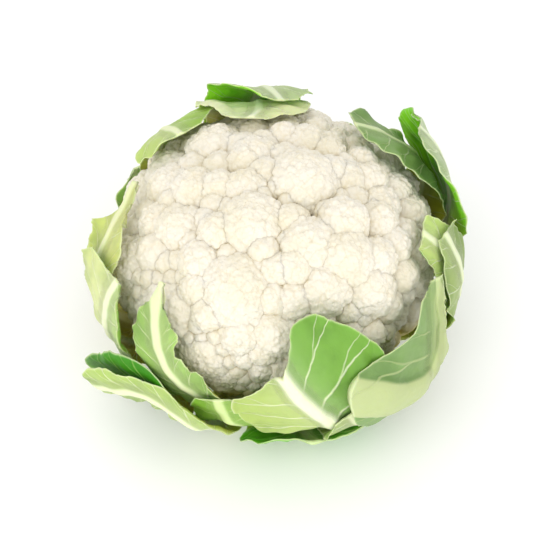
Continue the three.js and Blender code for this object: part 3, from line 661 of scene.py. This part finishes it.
def cover_height(cells, foot):
    """Height of the map at a foot, straight-line between its four cells."""
    column, row = map_place(foot)
    c, r = np.floor(column).astype(int), np.floor(row).astype(int)
    x, y = column - c, row - r
    low, high = np.clip(r, 0, CELLS_UP - 1), np.clip(r + 1, 0, CELLS_UP - 1)
    left, right = c % CELLS_ROUND, (c + 1) % CELLS_ROUND
    below = cells[low, left] * (1 - x) + cells[low, right] * x
    above = cells[high, left] * (1 - x) + cells[high, right] * x
    return below * (1 - y) + above * y


def eased_max(a, b):
    """The larger of two heights, eased by 1.5 mm where they are nearly equal."""
    ease = 1.5
    return np.maximum(a, b) + np.maximum(ease - np.abs(a - b), 0) ** 2 / (4 * ease)


def curd_cover(centres, normals, radii):
    """The cover map of the curd alone, from rays 1.5 degrees apart."""
    middles, sizes = [centres], [radii]
    for number in range(len(radii)):
        lumps, lump_radii = floret_lumps(normals[number], radii[number], 2.1 * number)
        middles.append(centres[number] + lumps)
        sizes.append(lump_radii)
    middles, sizes = np.concatenate(middles), np.concatenate(sizes)
    cover = np.full((CELLS_UP, CELLS_ROUND), float(BARE))
    azimuths = np.arange(0, 360, 1.5)
    for elevation in np.arange(-80, 88.1, 1.5):
        rays = heading(azimuths, np.full(len(azimuths), elevation))
        core = np.linalg.norm(round_foot(rays, CURD_CORE)[0], axis=1)
        reach = np.maximum(ray_reach(rays, middles, sizes).max(axis=1), core)
        cover_points(cover, rays * reach[:, None])
    return cover


def smooth_stations(stations, places):
    """Smooth values between stations: a Catmull-Rom curve through each column of numbers."""
    table = np.zeros((len(stations), 9))
    for row, station in zip(table, stations):
        row[: len(station)] = station
    last = len(stations) - 1
    i = np.minimum(np.floor(places).astype(int), last - 1)
    t = (places - i)[:, None]
    a, b = table[np.maximum(i - 1, 0)], table[i]
    c, d = table[np.minimum(i + 1, last)], table[np.minimum(i + 2, last)]
    return b + 0.5 * t * (c - a + t * (2 * a - 5 * b + 4 * c - d + t * (3 * (b - c) + d - a)))


def flat_point(rows, t):
    """A point of the leaf laid flat: foot + across * offset + forward * sweep * |offset|."""
    offset = t * np.where(t < 0, rows["left"], rows["right"])
    sweep = np.abs(offset) * np.where(t < 0, rows["sweep_left"], rows["sweep_right"])
    shape = rows["foot"][:, None] if np.ndim(offset) == 2 else rows["foot"]
    across = rows["across"][:, None] if np.ndim(offset) == 2 else rows["across"]
    forward = rows["forward"][:, None] if np.ndim(offset) == 2 else rows["forward"]
    return shape + across * offset[..., None] + forward * sweep[..., None]


ROW_NUMBERS = ["lift", "left", "right", "sweep_left", "sweep_right", "curl_left", "curl_right"]


def leaf_rows(stations, count):
    """Rows of a leaf, evenly spaced by how far its midrib and margins run on average."""
    fine = 20 * (len(stations) - 1)
    table = smooth_stations(stations, np.arange(fine + 1) * (len(stations) - 1) / fine)
    foot, normal = round_foot(heading(table[:, 0], table[:, 1]), JACKET)
    rows = {name: table[:, 2 + n] for n, name in enumerate(ROW_NUMBERS)}
    k = np.arange(fine + 1)
    rows["foot"] = foot
    rows["forward"] = unit(foot[np.minimum(k + 3, fine)] - foot[np.maximum(k - 3, 0)])
    rows["across"] = unit(np.cross(rows["forward"], normal))
    steps = []
    for t in (-1.0, 0.0, 1.0):
        line = flat_point(rows, np.full(fine + 1, t))
        steps.append(np.linalg.norm(np.diff(line, axis=0), axis=1))
    run = np.concatenate([[0], np.cumsum(np.mean(steps, axis=0))])
    rows["along"] = np.concatenate([[0], np.cumsum(steps[1])])
    wanted = run[-1] * np.arange(count + 1) / count

    def between(numbers):
        if numbers.ndim == 1:
            return np.interp(wanted, run, numbers)
        return np.stack([np.interp(wanted, run, column) for column in numbers.T], axis=1)

    return {name: between(numbers) for name, numbers in rows.items()}


def leaf_thickness(along, offset):
    """A thin blade with a midrib that is stout at the base and fades over 45 mm."""
    fade = np.exp(-along / 45)
    return BLADE_THICKNESS + (2.6 * fade + 0.5) * np.exp(-((offset / (6 * fade + 2.2)) ** 2))


def outward_of(grid):
    """Unit normals of a grid of points: its across step crossed with its forward step."""
    forward = np.empty_like(grid)
    forward[1:-1] = grid[2:] - grid[:-2]
    forward[0], forward[-1] = grid[1] - grid[0], grid[-1] - grid[-2]
    across = np.empty_like(grid)
    across[:, 1:-1] = grid[:, 2:] - grid[:, :-2]
    across[:, 0], across[:, -1] = grid[:, 1] - grid[:, 0], grid[:, -1] - grid[:, -2]
    return unit(np.cross(across, forward))


def leaf_net(leaf, cells):
    """The solid's own net of points for a leaf: inner skin, outer skin."""
    rows = leaf_rows(leaf["stations"], leaf["rows"])
    t = np.linspace(-1, 1, leaf["columns"] + 1)[None, :] * np.ones((leaf["rows"] + 1, 1))
    wide = {name: numbers[:, None] if numbers.ndim == 1 else numbers for name, numbers in rows.items()}
    foot, normal = round_foot(flat_point(wide, t), JACKET)
    wanted = wide["lift"] + t * t * np.where(t < 0, wide["curl_left"], wide["curl_right"])
    height = eased_max(wanted, cover_height(cells, foot) + CLEARANCE)
    inner = foot + normal * height[..., None]
    offset = t * np.where(t < 0, wide["left"], wide["right"])
    thickness = leaf_thickness(wide["along"], offset)
    return inner, inner + outward_of(inner) * thickness[..., None]


def cover_leaf(cover, outer):
    """Marks what a leaf covers, from a 5 by 5 spread of points on each of its facets."""
    a, b = outer[:-1, :-1], outer[:-1, 1:]
    d, e = outer[1:, 1:], outer[1:, :-1]
    for i in range(5):
        for j in range(5):
            along, across = i / 4, j / 4
            if across >= along:
                cover_points(cover, a + (b - a) * across + (d - b) * along)
            else:
                cover_points(cover, a + (e - a) * along + (d - e) * across)


def on_net(net, u, v):
    """Points of a smooth surface through a net, at row u and column v (Catmull-Rom both ways)."""
    def weights(t):
        return [
            0.5 * (-t + 2 * t**2 - t**3), 0.5 * (2 - 5 * t**2 + 3 * t**3),
            0.5 * (t + 4 * t**2 - 3 * t**3), 0.5 * (t**3 - t**2),
        ]

    rows, columns = net.shape[0] - 1, net.shape[1] - 1
    i = np.clip(np.floor(u).astype(int), 0, rows - 1)
    j = np.clip(np.floor(v).astype(int), 0, columns - 1)
    row_weights, column_weights = weights(u - i), weights(v - j)
    total = 0
    for m in range(4):
        for n in range(4):
            knot = net[np.clip(i + m - 1, 0, rows), np.clip(j + n - 1, 0, columns)]
            total = total + knot * (row_weights[m] * column_weights[n])[..., None]
    return total


def sheet_faces(rows, columns):
    """Quads of a closed sheet: outer grid, inner grid turned round, and the rim between."""
    number = np.arange(rows * columns).reshape(rows, columns)
    under = number + rows * columns

    def strip(a, b):
        return np.stack([a[:-1], a[1:], b[1:], b[:-1]], axis=-1).reshape(-1, 4)

    top = np.stack([number[:-1, :-1], number[:-1, 1:], number[1:, 1:], number[1:, :-1]], axis=-1)
    low = np.stack([under[:-1, :-1], under[1:, :-1], under[1:, 1:], under[:-1, 1:]], axis=-1)
    return np.concatenate([
        top.reshape(-1, 4), low.reshape(-1, 4),
        strip(number[:, 0], under[:, 0]), strip(under[:, -1], number[:, -1]),
        strip(under[0], number[0]), strip(number[-1], under[-1]),
    ])


def crumple(x, y, seed):
    """Made-up dents of a sheet, about -1 to 1: sines 9 to 26 mm long that run all ways."""
    random = np.random.default_rng(seed)
    total = 0
    lengths = random.uniform(9, 26, 7)
    turns = random.uniform(0, 3.14, 7)
    shifts = random.uniform(0, 6.28, 7)
    for length, turn, shift in zip(lengths, turns, shifts):
        total = total + np.sin((x * math.cos(turn) + y * math.sin(turn)) * 2 * math.pi / length + shift)
    return total / 3.2


def ramp(value, low, high):
    """0 below low, 1 above high, smooth between."""
    t = np.clip((value - low) / (high - low), 0, 1)
    return t * t * (3 - 2 * t)


def on_band(points, stations):
    """How high and how solid a thick stalk lies on each point: a half round along its stations.

    A station holds azimuth, elevation, half width and height, and the half round's height is
    height * sqrt(1 - (distance / half width)^2).
    """
    table = smooth_stations(stations, np.linspace(0, len(stations) - 1, 90))
    foot, _ = round_foot(heading(table[:, 0], table[:, 1]), JACKET)
    flat = settle(points.reshape(-1, 3))[0]
    away = np.linalg.norm(flat[:, None] - foot[None], axis=2)
    nearest = away.argmin(axis=1)
    share = (away.min(axis=1) / table[nearest, 2]).reshape(points.shape[:2])
    height = table[nearest, 3].reshape(points.shape[:2])
    return height * np.sqrt(np.clip(1 - share**2, 0, 1)), 1 - ramp(share, 0.75, 1.1)


def make_leaf(leaf, seed, net, material):
    """A leaf drawn finely over the solid's net.

    The margin is drawn in by teeth and bites, the blade swells between its side veins, is
    crumpled, and rolls outward in places along the margin. Side veins are the lines where
    (along - lean * |offset|) / gap is whole; each forks on its way out. They stand out on
    the outer skin and lie sunk in the inner one.
    """
    count_u, count_v = leaf["fine"]
    fine = leaf_rows(leaf["stations"], count_u)
    at = {name: numbers[:, None] for name, numbers in fine.items() if numbers.ndim == 1}
    t = np.linspace(-1, 1, count_v + 1)[None, :] * np.ones((count_u + 1, 1))
    share = np.linspace(0, 1, count_u + 1)[:, None] * np.ones_like(t)
    half = np.maximum(np.where(t < 0, at["left"], at["right"]), 1)
    edge = np.where(t < 0, -1.0, 1.0)
    along = at["along"] * np.ones_like(t)
    grown = ramp(along, 25, 50)
    length = fine["along"][-1]

    teeth = np.abs(np.sin(along / 1.5 + 1.9 * wobble(along / 7, seed) + edge)) ** 0.7
    notch = leaf["tooth"] * (0.5 * teeth + 0.6 + 1.1 * wobble(along / 4.5 + 40 * edge, seed + 1))
    notch = notch + leaf["tooth"] * np.maximum(1.9 * wobble(along / 11 + 30 * edge, seed + 7), 0)
    for side, middle, width, depth in leaf.get("bites", ()):
        bite = depth * np.exp(-(((share - middle) * length / width) ** 4))
        notch = notch + bite * (edge == side)
    inset = np.clip(notch * grown, 0, 0.6 * half)
    t_cut = t * (1 - np.abs(t) ** 2.5 * inset / half)
    tip_teeth = 0.6 * np.abs(np.sin(t * half / 1.7 + seed))
    tip = leaf["tooth"] * (0.5 + tip_teeth + 1.4 * wobble(t * half / 5, seed + 2))
    share_cut = share * (1 - np.clip(tip, 0, 5) / length * share**5)

    base = on_net(net, share_cut * leaf["rows"], (t_cut + 1) / 2 * leaf["columns"])
    outward = outward_of(base)
    offset = t_cut * half
    reach = np.abs(offset)
    blade = ramp(reach, 2, 7)
    phase = (along - leaf["vein_lean"] * reach + 0.004 * reach**2) / leaf["vein_gap"]
    phase = phase + 0.16 * wobble(along / leaf["vein_gap"] * 1.3 + 9 * edge, seed + 6)
    phase = phase + 0.06 * wobble(offset / 4 + 30 * edge, seed + 3) + 0.5 * (edge < 0)
    beside = phase - np.round(phase)
    fork = 0.34 * ramp(np.abs(t), 0.35, 1.0)
    away = np.minimum(np.abs(beside), np.abs(beside - fork)) * leaf["vein_gap"]
    vein = np.exp(-((away / (0.9 - 0.4 * np.abs(t))) ** 2)) * blade
    swell = np.clip(2 * np.abs(beside), 0, 1) * ramp(reach, 2, 12)
    dents = 1.4 * leaf["ruffle"] * crumple(along, offset, seed + 4) * (0.4 + 0.9 * np.abs(t) ** 2) * grown
    curls = ramp(wobble(along / 14 + 20 * edge, seed + 5), 0.1, 0.7)
    roll = leaf.get("roll", ROLL) * curls * ramp(np.abs(t), 0.72, 1.05) ** 2 * grown
    lift = np.maximum(swell + dents + roll, -0.8)[..., None]
    width_base, width_tip, high_base, high_tip = leaf.get("midrib", MIDRIB)
    fade = np.exp(-along / 45)
    width = width_base * fade + width_tip
    thick = (high_base * fade + high_tip) * np.exp(-((offset / width) ** 2))
    rib = np.exp(-((offset / (1.05 * width)) ** 2))
    if "band" in leaf:
        high, solid = on_band(base, leaf["band"])
        thick, rib = np.maximum(0.3 * thick, high), np.maximum(0.2 * rib, solid)
    thin = 0.95 - 0.6 * np.abs(t) ** 6 - 0.3 * ramp(share, 0.95, 1)
    inner = base + outward * (lift + 0.25 * vein[..., None])
    outer = base + outward * (lift + (thin + thick + 0.4 * vein)[..., None])

    def twice(numbers):
        return np.concatenate([(numbers * np.ones_like(t)).ravel()] * 2)

    rim = np.minimum((1 - np.abs(t)) * half, (1 - share) * length)
    values = {
        "inner": np.repeat([0.0, 1.0], t.size),
        "phase": twice(phase),
        "across": twice(t),
        "share": twice(share),
        "rib": twice(rib),
        "halo": twice(np.exp(-reach / (4 + 16 * np.exp(-along / 50)))),
        "blade": twice(blade),
        "rim": twice(np.exp(-((rim / 0.7) ** 2))),
    }
    uvs = np.stack([twice(offset), twice(along)], axis=1) / 100
    piece = mesh_piece(leaf["name"] + "_blade", points_of(outer, inner), sheet_faces(*t.shape), values, uvs)
    return hang(piece, leaf["name"], material)


def points_of(outer, inner):
    """The points of the outer skin, then those of the inner one, in one list."""
    return np.concatenate([outer.reshape(-1, 3), inner.reshape(-1, 3)])


def linear(hex_colour):
    """An sRGB hex colour as linear red, green, blue and alpha."""
    parts = [int(hex_colour[i:i + 2], 16) / 255 for i in (1, 3, 5)]
    line = [p / 12.92 if p <= 0.04045 else ((p + 0.055) / 1.055) ** 2.4 for p in parts]
    return (*line, 1.0)


def node(tree, kind, settings=None, **sockets):
    """Adds a node with its settings; each socket is given a value or linked to another's output."""
    made = tree.nodes.new(kind)
    for key, value in (settings or {}).items():
        setattr(made, key, value)
    for key, value in sockets.items():
        name = key.replace("_", " ")
        socket = made.inputs[int(key[1:])] if key[0] == "i" and key[1:].isdigit() else made.inputs[name]
        if isinstance(value, bpy.types.NodeSocket):
            tree.links.new(value, socket)
        else:
            socket.default_value = value
    return made


def blank_material(name):
    """A new material with an empty tree: (material, tree)."""
    material = bpy.data.materials.new(name)
    material.use_nodes = True
    material.node_tree.nodes.clear()
    return material, material.node_tree


def attribute(tree, name):
    """The value of a number laid on the points of the surface."""
    return node(tree, "ShaderNodeAttribute", {"attribute_name": name}).outputs["Fac"]


def maths(tree, operation, a, b=0.0):
    """One sum on two numbers, each a value or linked."""
    return node(tree, "ShaderNodeMath", {"operation": operation}, i0=a, i1=b).outputs[0]


def mixed(tree, factor, a, b, blend="MIX"):
    """Two colours, hex or linked, mixed by a factor."""
    a = linear(a) if isinstance(a, str) else a
    b = linear(b) if isinstance(b, str) else b
    settings = {"data_type": "RGBA", "blend_type": blend}
    return node(tree, "ShaderNodeMix", settings, i0=factor, i6=a, i7=b).outputs[2]


def ranged(tree, value, low, high, to_low=0.0, to_high=1.0):
    """A value moved from one range to another, smoothly and clamped."""
    settings = {"interpolation_type": "SMOOTHSTEP", "clamp": True}
    made = node(tree, "ShaderNodeMapRange", settings, i0=value, i1=low, i2=high, i3=to_low, i4=to_high)
    return made.outputs[0]


def object_noise(tree, size_mm, detail=2.0, where=None):
    """Noise whose blotches are about size_mm across, on Object coordinates in metres."""
    where = where or node(tree, "ShaderNodeTexCoord").outputs["Object"]
    return node(
        tree, "ShaderNodeTexNoise", Vector=where, Scale=1000 / size_mm, Detail=detail, Roughness=0.55
    ).outputs["Fac"]


def bumped(tree, height, distance, strength, below=None):
    """Normals that show a height, in metres for a height of 1, over those of another bump."""
    links = {"Normal": below} if below is not None else {}
    made = node(tree, "ShaderNodeBump", Height=height, Distance=distance, Strength=strength, **links)
    return made.outputs["Normal"]


def finish_material(tree, colour, normal, **sockets):
    """The last two nodes: Principled BSDF and the output."""
    shader = node(tree, "ShaderNodeBsdfPrincipled", Base_Color=colour, Normal=normal, **sockets)
    out = node(tree, "ShaderNodeOutputMaterial")
    tree.links.new(shader.outputs[0], out.inputs["Surface"])


def curd_material():
    """Raw cauliflower curd: moist white plant tissue, grown.

    Ivory, slightly see-through, matte with a faint moist gleam; painted tan shade in the creases, and a
    painted olive shade low down where the leaves stand against it.
    """
    material, tree = blank_material("raw_curd_ivory")
    crease_shade = attribute(tree, "crease_shade")
    mottle = object_noise(tree, 16)
    fine = object_noise(tree, 2.2, 3)
    colour = mixed(tree, ranged(tree, mottle, 0.35, 0.7), "#E8E2D4", "#E5DECA")
    colour = mixed(tree, ranged(tree, fine, 0.45, 0.75, 0, 0.3), colour, "#DFD6BC")
    # Painted shade in the creases, in tan
    colour = mixed(tree, ranged(tree, crease_shade, 0.2, 0.9, 0, 0.75), colour, "#CBB478")
    where = node(tree, "ShaderNodeTexCoord").outputs["Object"]
    # Painted olive shade low down, where light comes through the leaves standing against it: about 52 to 40
    # mm over the floor
    up = node(tree, "ShaderNodeSeparateXYZ", Vector=where).outputs["Z"]
    up = maths(tree, "ADD", up, maths(tree, "MULTIPLY", mottle, 0.008))
    colour = mixed(tree, ranged(tree, up, 0.056, 0.044, 0, 0.8), colour, "#C9B84C")
    # Grains of the curd are 0.4 to 0.8 mm; drawn at 1.1 mm so that they show
    grains = node(tree, "ShaderNodeTexVoronoi", {"feature": "SMOOTH_F1"}, Vector=where, Scale=1000 / 1.1,
                  Smoothness=0.4).outputs["Distance"]
    height = maths(tree, "SUBTRACT", 1.0, grains)
    normal = bumped(tree, height, 0.00028, 0.8)
    normal = bumped(tree, fine, 0.0003, 0.5, normal)
    finish_material(
        tree, colour, normal, Roughness=0.6, IOR=1.42, Specular_IOR_Level=0.35,
        Subsurface_Weight=0.4, Subsurface_Radius=(1.0, 0.95, 0.85), Subsurface_Scale=0.0022,
    )
    return material


def leaf_material(leaf):
    """Raw cabbage leaf: waxy skin over green tissue with pale juicy ribs, grown.

    The outer side is paler under its wax bloom, the inner side a fuller green; the light
    passes a little through the thin blade.
    """
    material, tree = blank_material("waxy_" + leaf["name"])
    where = node(tree, "ShaderNodeUVMap", {"uv_map": "blade"}).outputs["UV"]
    inner, across = attribute(tree, "inner"), attribute(tree, "across")
    share, rib, blade = attribute(tree, "share"), attribute(tree, "rib"), attribute(tree, "blade")
    halo, rim = attribute(tree, "halo"), attribute(tree, "rim")
    left, right = leaf["outside"]
    outside = mixed(tree, ranged(tree, across, -0.1, 0.1), left, right)
    # Painted olive shade on the inner side's lower part, where it stands against the curd and light comes
    # through the leaf
    within = mixed(tree, ranged(tree, share, 0.78, 0.5, 0, 0.85), leaf["inside"], "#BDB834")
    colour = mixed(tree, inner, outside, within)
    deeper = mixed(tree, 0.75, colour, "#3F7F22", "MULTIPLY")
    mottle = object_noise(tree, 22, 3)
    colour = mixed(tree, ranged(tree, mottle, 0.42, 0.7, 0, 0.4), colour, deeper)
    pale = mixed(tree, 0.75, colour, leaf["rib"])
    # Paler towards the base, on the outer side only
    low_down = ranged(tree, share, 0.5, 0.05, 0, 0.6)
    bare = maths(tree, "MULTIPLY", low_down, maths(tree, "SUBTRACT", 1.0, inner))
    colour = mixed(tree, bare, colour, pale)
    colour = mixed(tree, maths(tree, "MULTIPLY", halo, 0.5), colour, pale)

    # The nets of small veins have meshes of about 3.5 and 11 mm, with lines about 0.4 mm wide
    noise = node(
        tree, "ShaderNodeTexNoise", {"noise_dimensions": "2D"}, Vector=where, Scale=22, Detail=2.0,
    ).outputs["Color"]
    shaken = node(tree, "ShaderNodeMix", {"data_type": "VECTOR"}, i0=0.03, i4=where, i5=noise)
    net = node(
        tree, "ShaderNodeTexVoronoi", {"feature": "DISTANCE_TO_EDGE", "voronoi_dimensions": "2D"},
        Vector=shaken.outputs[1], Scale=28,
    ).outputs["Distance"]
    wide_net = node(
        tree, "ShaderNodeTexVoronoi", {"feature": "DISTANCE_TO_EDGE", "voronoi_dimensions": "2D"},
        Vector=shaken.outputs[1], Scale=9,
    ).outputs["Distance"]
    fine_lines = ranged(tree, net, 0.09, 0.0, 0, 0.65)
    small = maths(tree, "MAXIMUM", fine_lines, ranged(tree, wide_net, 0.04, 0.0))
    phase = attribute(tree, "phase")
    aside = maths(tree, "ABSOLUTE", across)
    beside = maths(tree, "SUBTRACT", phase, maths(tree, "ROUND", phase))
    fork = ranged(tree, aside, 0.35, 1.0, 0, 0.34)
    main = maths(tree, "MULTIPLY", maths(tree, "ABSOLUTE", beside), leaf["vein_gap"])
    child = maths(tree, "ABSOLUTE", maths(tree, "SUBTRACT", beside, fork))
    child = maths(tree, "MULTIPLY", child, leaf["vein_gap"])
    width = ranged(tree, aside, 0.0, 1.0, 0.7, 0.2)
    vein = ranged(tree, maths(tree, "DIVIDE", main, width), 1.5, 0.3)
    forked = ranged(tree, maths(tree, "DIVIDE", child, width), 1.2, 0.2, 0, 0.7)
    vein = maths(tree, "MULTIPLY", maths(tree, "MAXIMUM", vein, forked), blade)
    colour = mixed(tree, maths(tree, "MULTIPLY", small, 0.42), colour, leaf["rib"])
    colour = mixed(tree, maths(tree, "MULTIPLY", vein, 0.6), colour, leaf["rib"])
    colour = mixed(tree, ranged(tree, rib, 0.3, 0.85), colour, leaf["rib"])
    colour = mixed(tree, maths(tree, "MULTIPLY", rim, 0.6), colour, "#DFE8B8")

    relief = maths(tree, "ADD", maths(tree, "MULTIPLY", small, 0.5), vein)
    normal = bumped(tree, relief, 0.0004, 0.7)
    normal = bumped(tree, object_noise(tree, 5, 3), 0.0008, 0.6, normal)
    finish_material(
        tree, colour, normal, Roughness=0.48, IOR=1.42, Specular_IOR_Level=0.35,
        Subsurface_Weight=0.3, Subsurface_Radius=(0.7, 1.0, 0.25), Subsurface_Scale=0.0018,
    )
    return material


def stump_material():
    """Cut cabbage stalk: pale green fibrous skin, and a moist cut face with its ring.

    The ring is where the bundles of fibres stand, a few mm inside the skin.
    """
    material, tree = blank_material("cut_cabbage_stalk")
    where = node(tree, "ShaderNodeTexCoord").outputs["Object"]
    parts = node(tree, "ShaderNodeSeparateXYZ", Vector=where).outputs
    radial = maths(tree, "SQRT", maths(tree, "ADD", maths(tree, "POWER", parts["X"], 2.0),
                                       maths(tree, "POWER", parts["Y"], 2.0)))
    radial = maths(tree, "ADD", radial, maths(tree, "MULTIPLY", object_noise(tree, 9), 0.004))
    ring = ranged(tree, maths(tree, "ABSOLUTE", maths(tree, "SUBTRACT", radial, 0.019)), 0.0022, 0.0002)
    colour = mixed(tree, object_noise(tree, 7, 3), "#E7E8C4", "#D6DDA6")
    colour = mixed(tree, maths(tree, "MULTIPLY", ring, 0.6), colour, "#B9C47E")
    colour = mixed(tree, ranged(tree, object_noise(tree, 2.5), 0.62, 0.8, 0, 0.6), colour, "#C7B27C")
    normal = bumped(tree, object_noise(tree, 1.6, 3), 0.0004, 0.7)
    finish_material(tree, colour, normal, Roughness=0.5, IOR=1.42, Subsurface_Weight=0.2,
                    Subsurface_Radius=(0.9, 1.0, 0.5), Subsurface_Scale=0.0015)
    return material


def make_stump(material):
    """The profile turned about the axis, closed at both ends, a little out of round.

    Radius is the profile's, times 0.98 + 0.02 sin(5 angle) min(height / 4, 1), so that the
    knife-cut face below is round.
    """
    corners = np.array(STUMP_PROFILE[1:-1], float)
    run = np.concatenate([[0], np.cumsum(np.linalg.norm(np.diff(corners, axis=0), axis=1))])
    steps = np.linspace(0, run[-1], 60)
    radius = np.interp(steps, run, corners[:, 0])
    height = np.interp(steps, run, corners[:, 1])
    face = np.linspace(0.4, radius[0], 24)[:-1]
    lid = np.linspace(radius[-1], 0.4, 8)[1:]
    radius = np.concatenate([face, radius, lid])
    height = np.concatenate([np.full(len(face), height[0]), height, np.full(len(lid), height[-1])])
    angle = np.linspace(0, 2 * math.pi, 97)[:-1]
    wavy = 0.98 + 0.02 * np.sin(5 * angle)[None] * np.clip(height / 4, 0, 1)[:, None]
    rings = np.stack([
        radius[:, None] * np.cos(angle) * wavy, radius[:, None] * np.sin(angle) * wavy,
        height[:, None] * np.ones_like(angle) - HEAD_CENTRE[2],
    ], axis=-1)
    count, around = rings.shape[:2]
    number = np.arange(count * around).reshape(count, around)
    beside = np.roll(number, -1, axis=1)
    quads = np.stack([number[:-1], beside[:-1], beside[1:], number[1:]], axis=-1).reshape(-1, 4)
    triangles = np.concatenate([quads[:, [0, 1, 2]], quads[:, [0, 2, 3]]])
    ends = np.array([[0, 0, -HEAD_CENTRE[2]], [0, 0, height[-1] - HEAD_CENTRE[2]]])
    low = np.stack([beside[0], number[0], np.full(around, count * around)], axis=1)
    top = np.stack([number[-1], beside[-1], np.full(around, count * around + 1)], axis=1)
    points = np.concatenate([rings.reshape(-1, 3), ends])
    piece = mesh_piece("cut_stump", points, np.concatenate([triangles, low, top]))
    hang(piece, "stump", material)


def make_floor():
    """A round pale floor, 6 m across."""
    angle = np.linspace(0, 2 * math.pi, 97)[:-1]
    points = np.stack([3 * np.cos(angle), 3 * np.sin(angle), np.zeros_like(angle)], axis=1)
    mesh = bpy.data.meshes.new("floor")
    mesh.from_pydata(points.tolist(), [], [list(range(len(points)))])
    floor = bpy.data.objects.new("floor", mesh)
    bpy.context.scene.collection.objects.link(floor)
    material, tree = blank_material("matte_white_paper")
    colour = mixed(tree, object_noise(tree, 400), "#FBFBFA", "#F8F8F7")
    shader = node(tree, "ShaderNodeBsdfPrincipled", Base_Color=colour, Roughness=0.9)
    out = node(tree, "ShaderNodeOutputMaterial")
    tree.links.new(shader.outputs[0], out.inputs["Surface"])
    mesh.materials.append(material)


def make_camera():
    """The photograph's eye: 50 degrees up, straight in front, an 85 mm lens."""
    rightward, upward, backward = picture_axes()
    place = (HEAD_CENTRE + backward * EYE_DISTANCE - upward * EYE_DROP) / 1000
    data = bpy.data.cameras.new("camera")
    data.lens, data.sensor_width = 85, 36
    data.clip_start = 0.01
    camera = bpy.data.objects.new("camera", data)
    matrix = np.eye(4)
    matrix[:3, 0], matrix[:3, 1], matrix[:3, 2], matrix[:3, 3] = rightward, upward, backward, place
    camera.matrix_world = [list(row) for row in matrix]
    camera.matrix_world.transpose()
    bpy.context.scene.collection.objects.link(camera)
    bpy.context.scene.camera = camera


def area_light(name, place, target, size, power, colour="#FFFFFF"):
    """A square soft light at a place, turned to a target, both in metres."""
    data = bpy.data.lights.new(name, "AREA")
    data.shape, data.size, data.energy = "SQUARE", size, power
    data.color = linear(colour)[:3]
    lamp = bpy.data.objects.new(name, data)
    lamp.location = place
    aim = Vector(target) - Vector(place)
    lamp.rotation_euler = aim.to_track_quat("-Z", "Y").to_euler()
    bpy.context.scene.collection.objects.link(lamp)


def make_lights():
    """A soft key from the upper left, a fill from the right, a low light, a white surround."""
    area_light("key_softbox", (-0.75, -0.95, 1.45), (0, 0, 0.06), 1.1, 6, "#FFFDF8")
    area_light("fill_softbox", (0.9, -1.3, 0.7), (0, 0, 0.06), 1.2, 4)
    area_light("low_softbox", (-0.2, -1.6, 0.3), (0, 0, 0.04), 1.3, 7)
    world = bpy.data.worlds.new("studio")
    world.use_nodes = True
    world.node_tree.nodes["Background"].inputs["Color"].default_value = linear("#FFFFFF")
    world.node_tree.nodes["Background"].inputs["Strength"].default_value = 1.03
    bpy.context.scene.world = world
    bpy.context.scene.view_settings.view_transform = "Standard"


def main():
    """Loads the frame, makes the studio, then the curd, the stump and the leaves in order."""
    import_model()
    make_camera()
    make_lights()
    make_floor()
    centres, normals, radii = make_curd(curd_material())
    make_stump(stump_material())
    cover = curd_cover(centres, normals, radii)
    for number, leaf in enumerate(LEAVES):
        inner, outer = leaf_net(leaf, ride_map(cover))
        cover_leaf(cover, outer)
        make_leaf(leaf, 10 * number, inner, leaf_material(leaf))
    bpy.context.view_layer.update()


main()
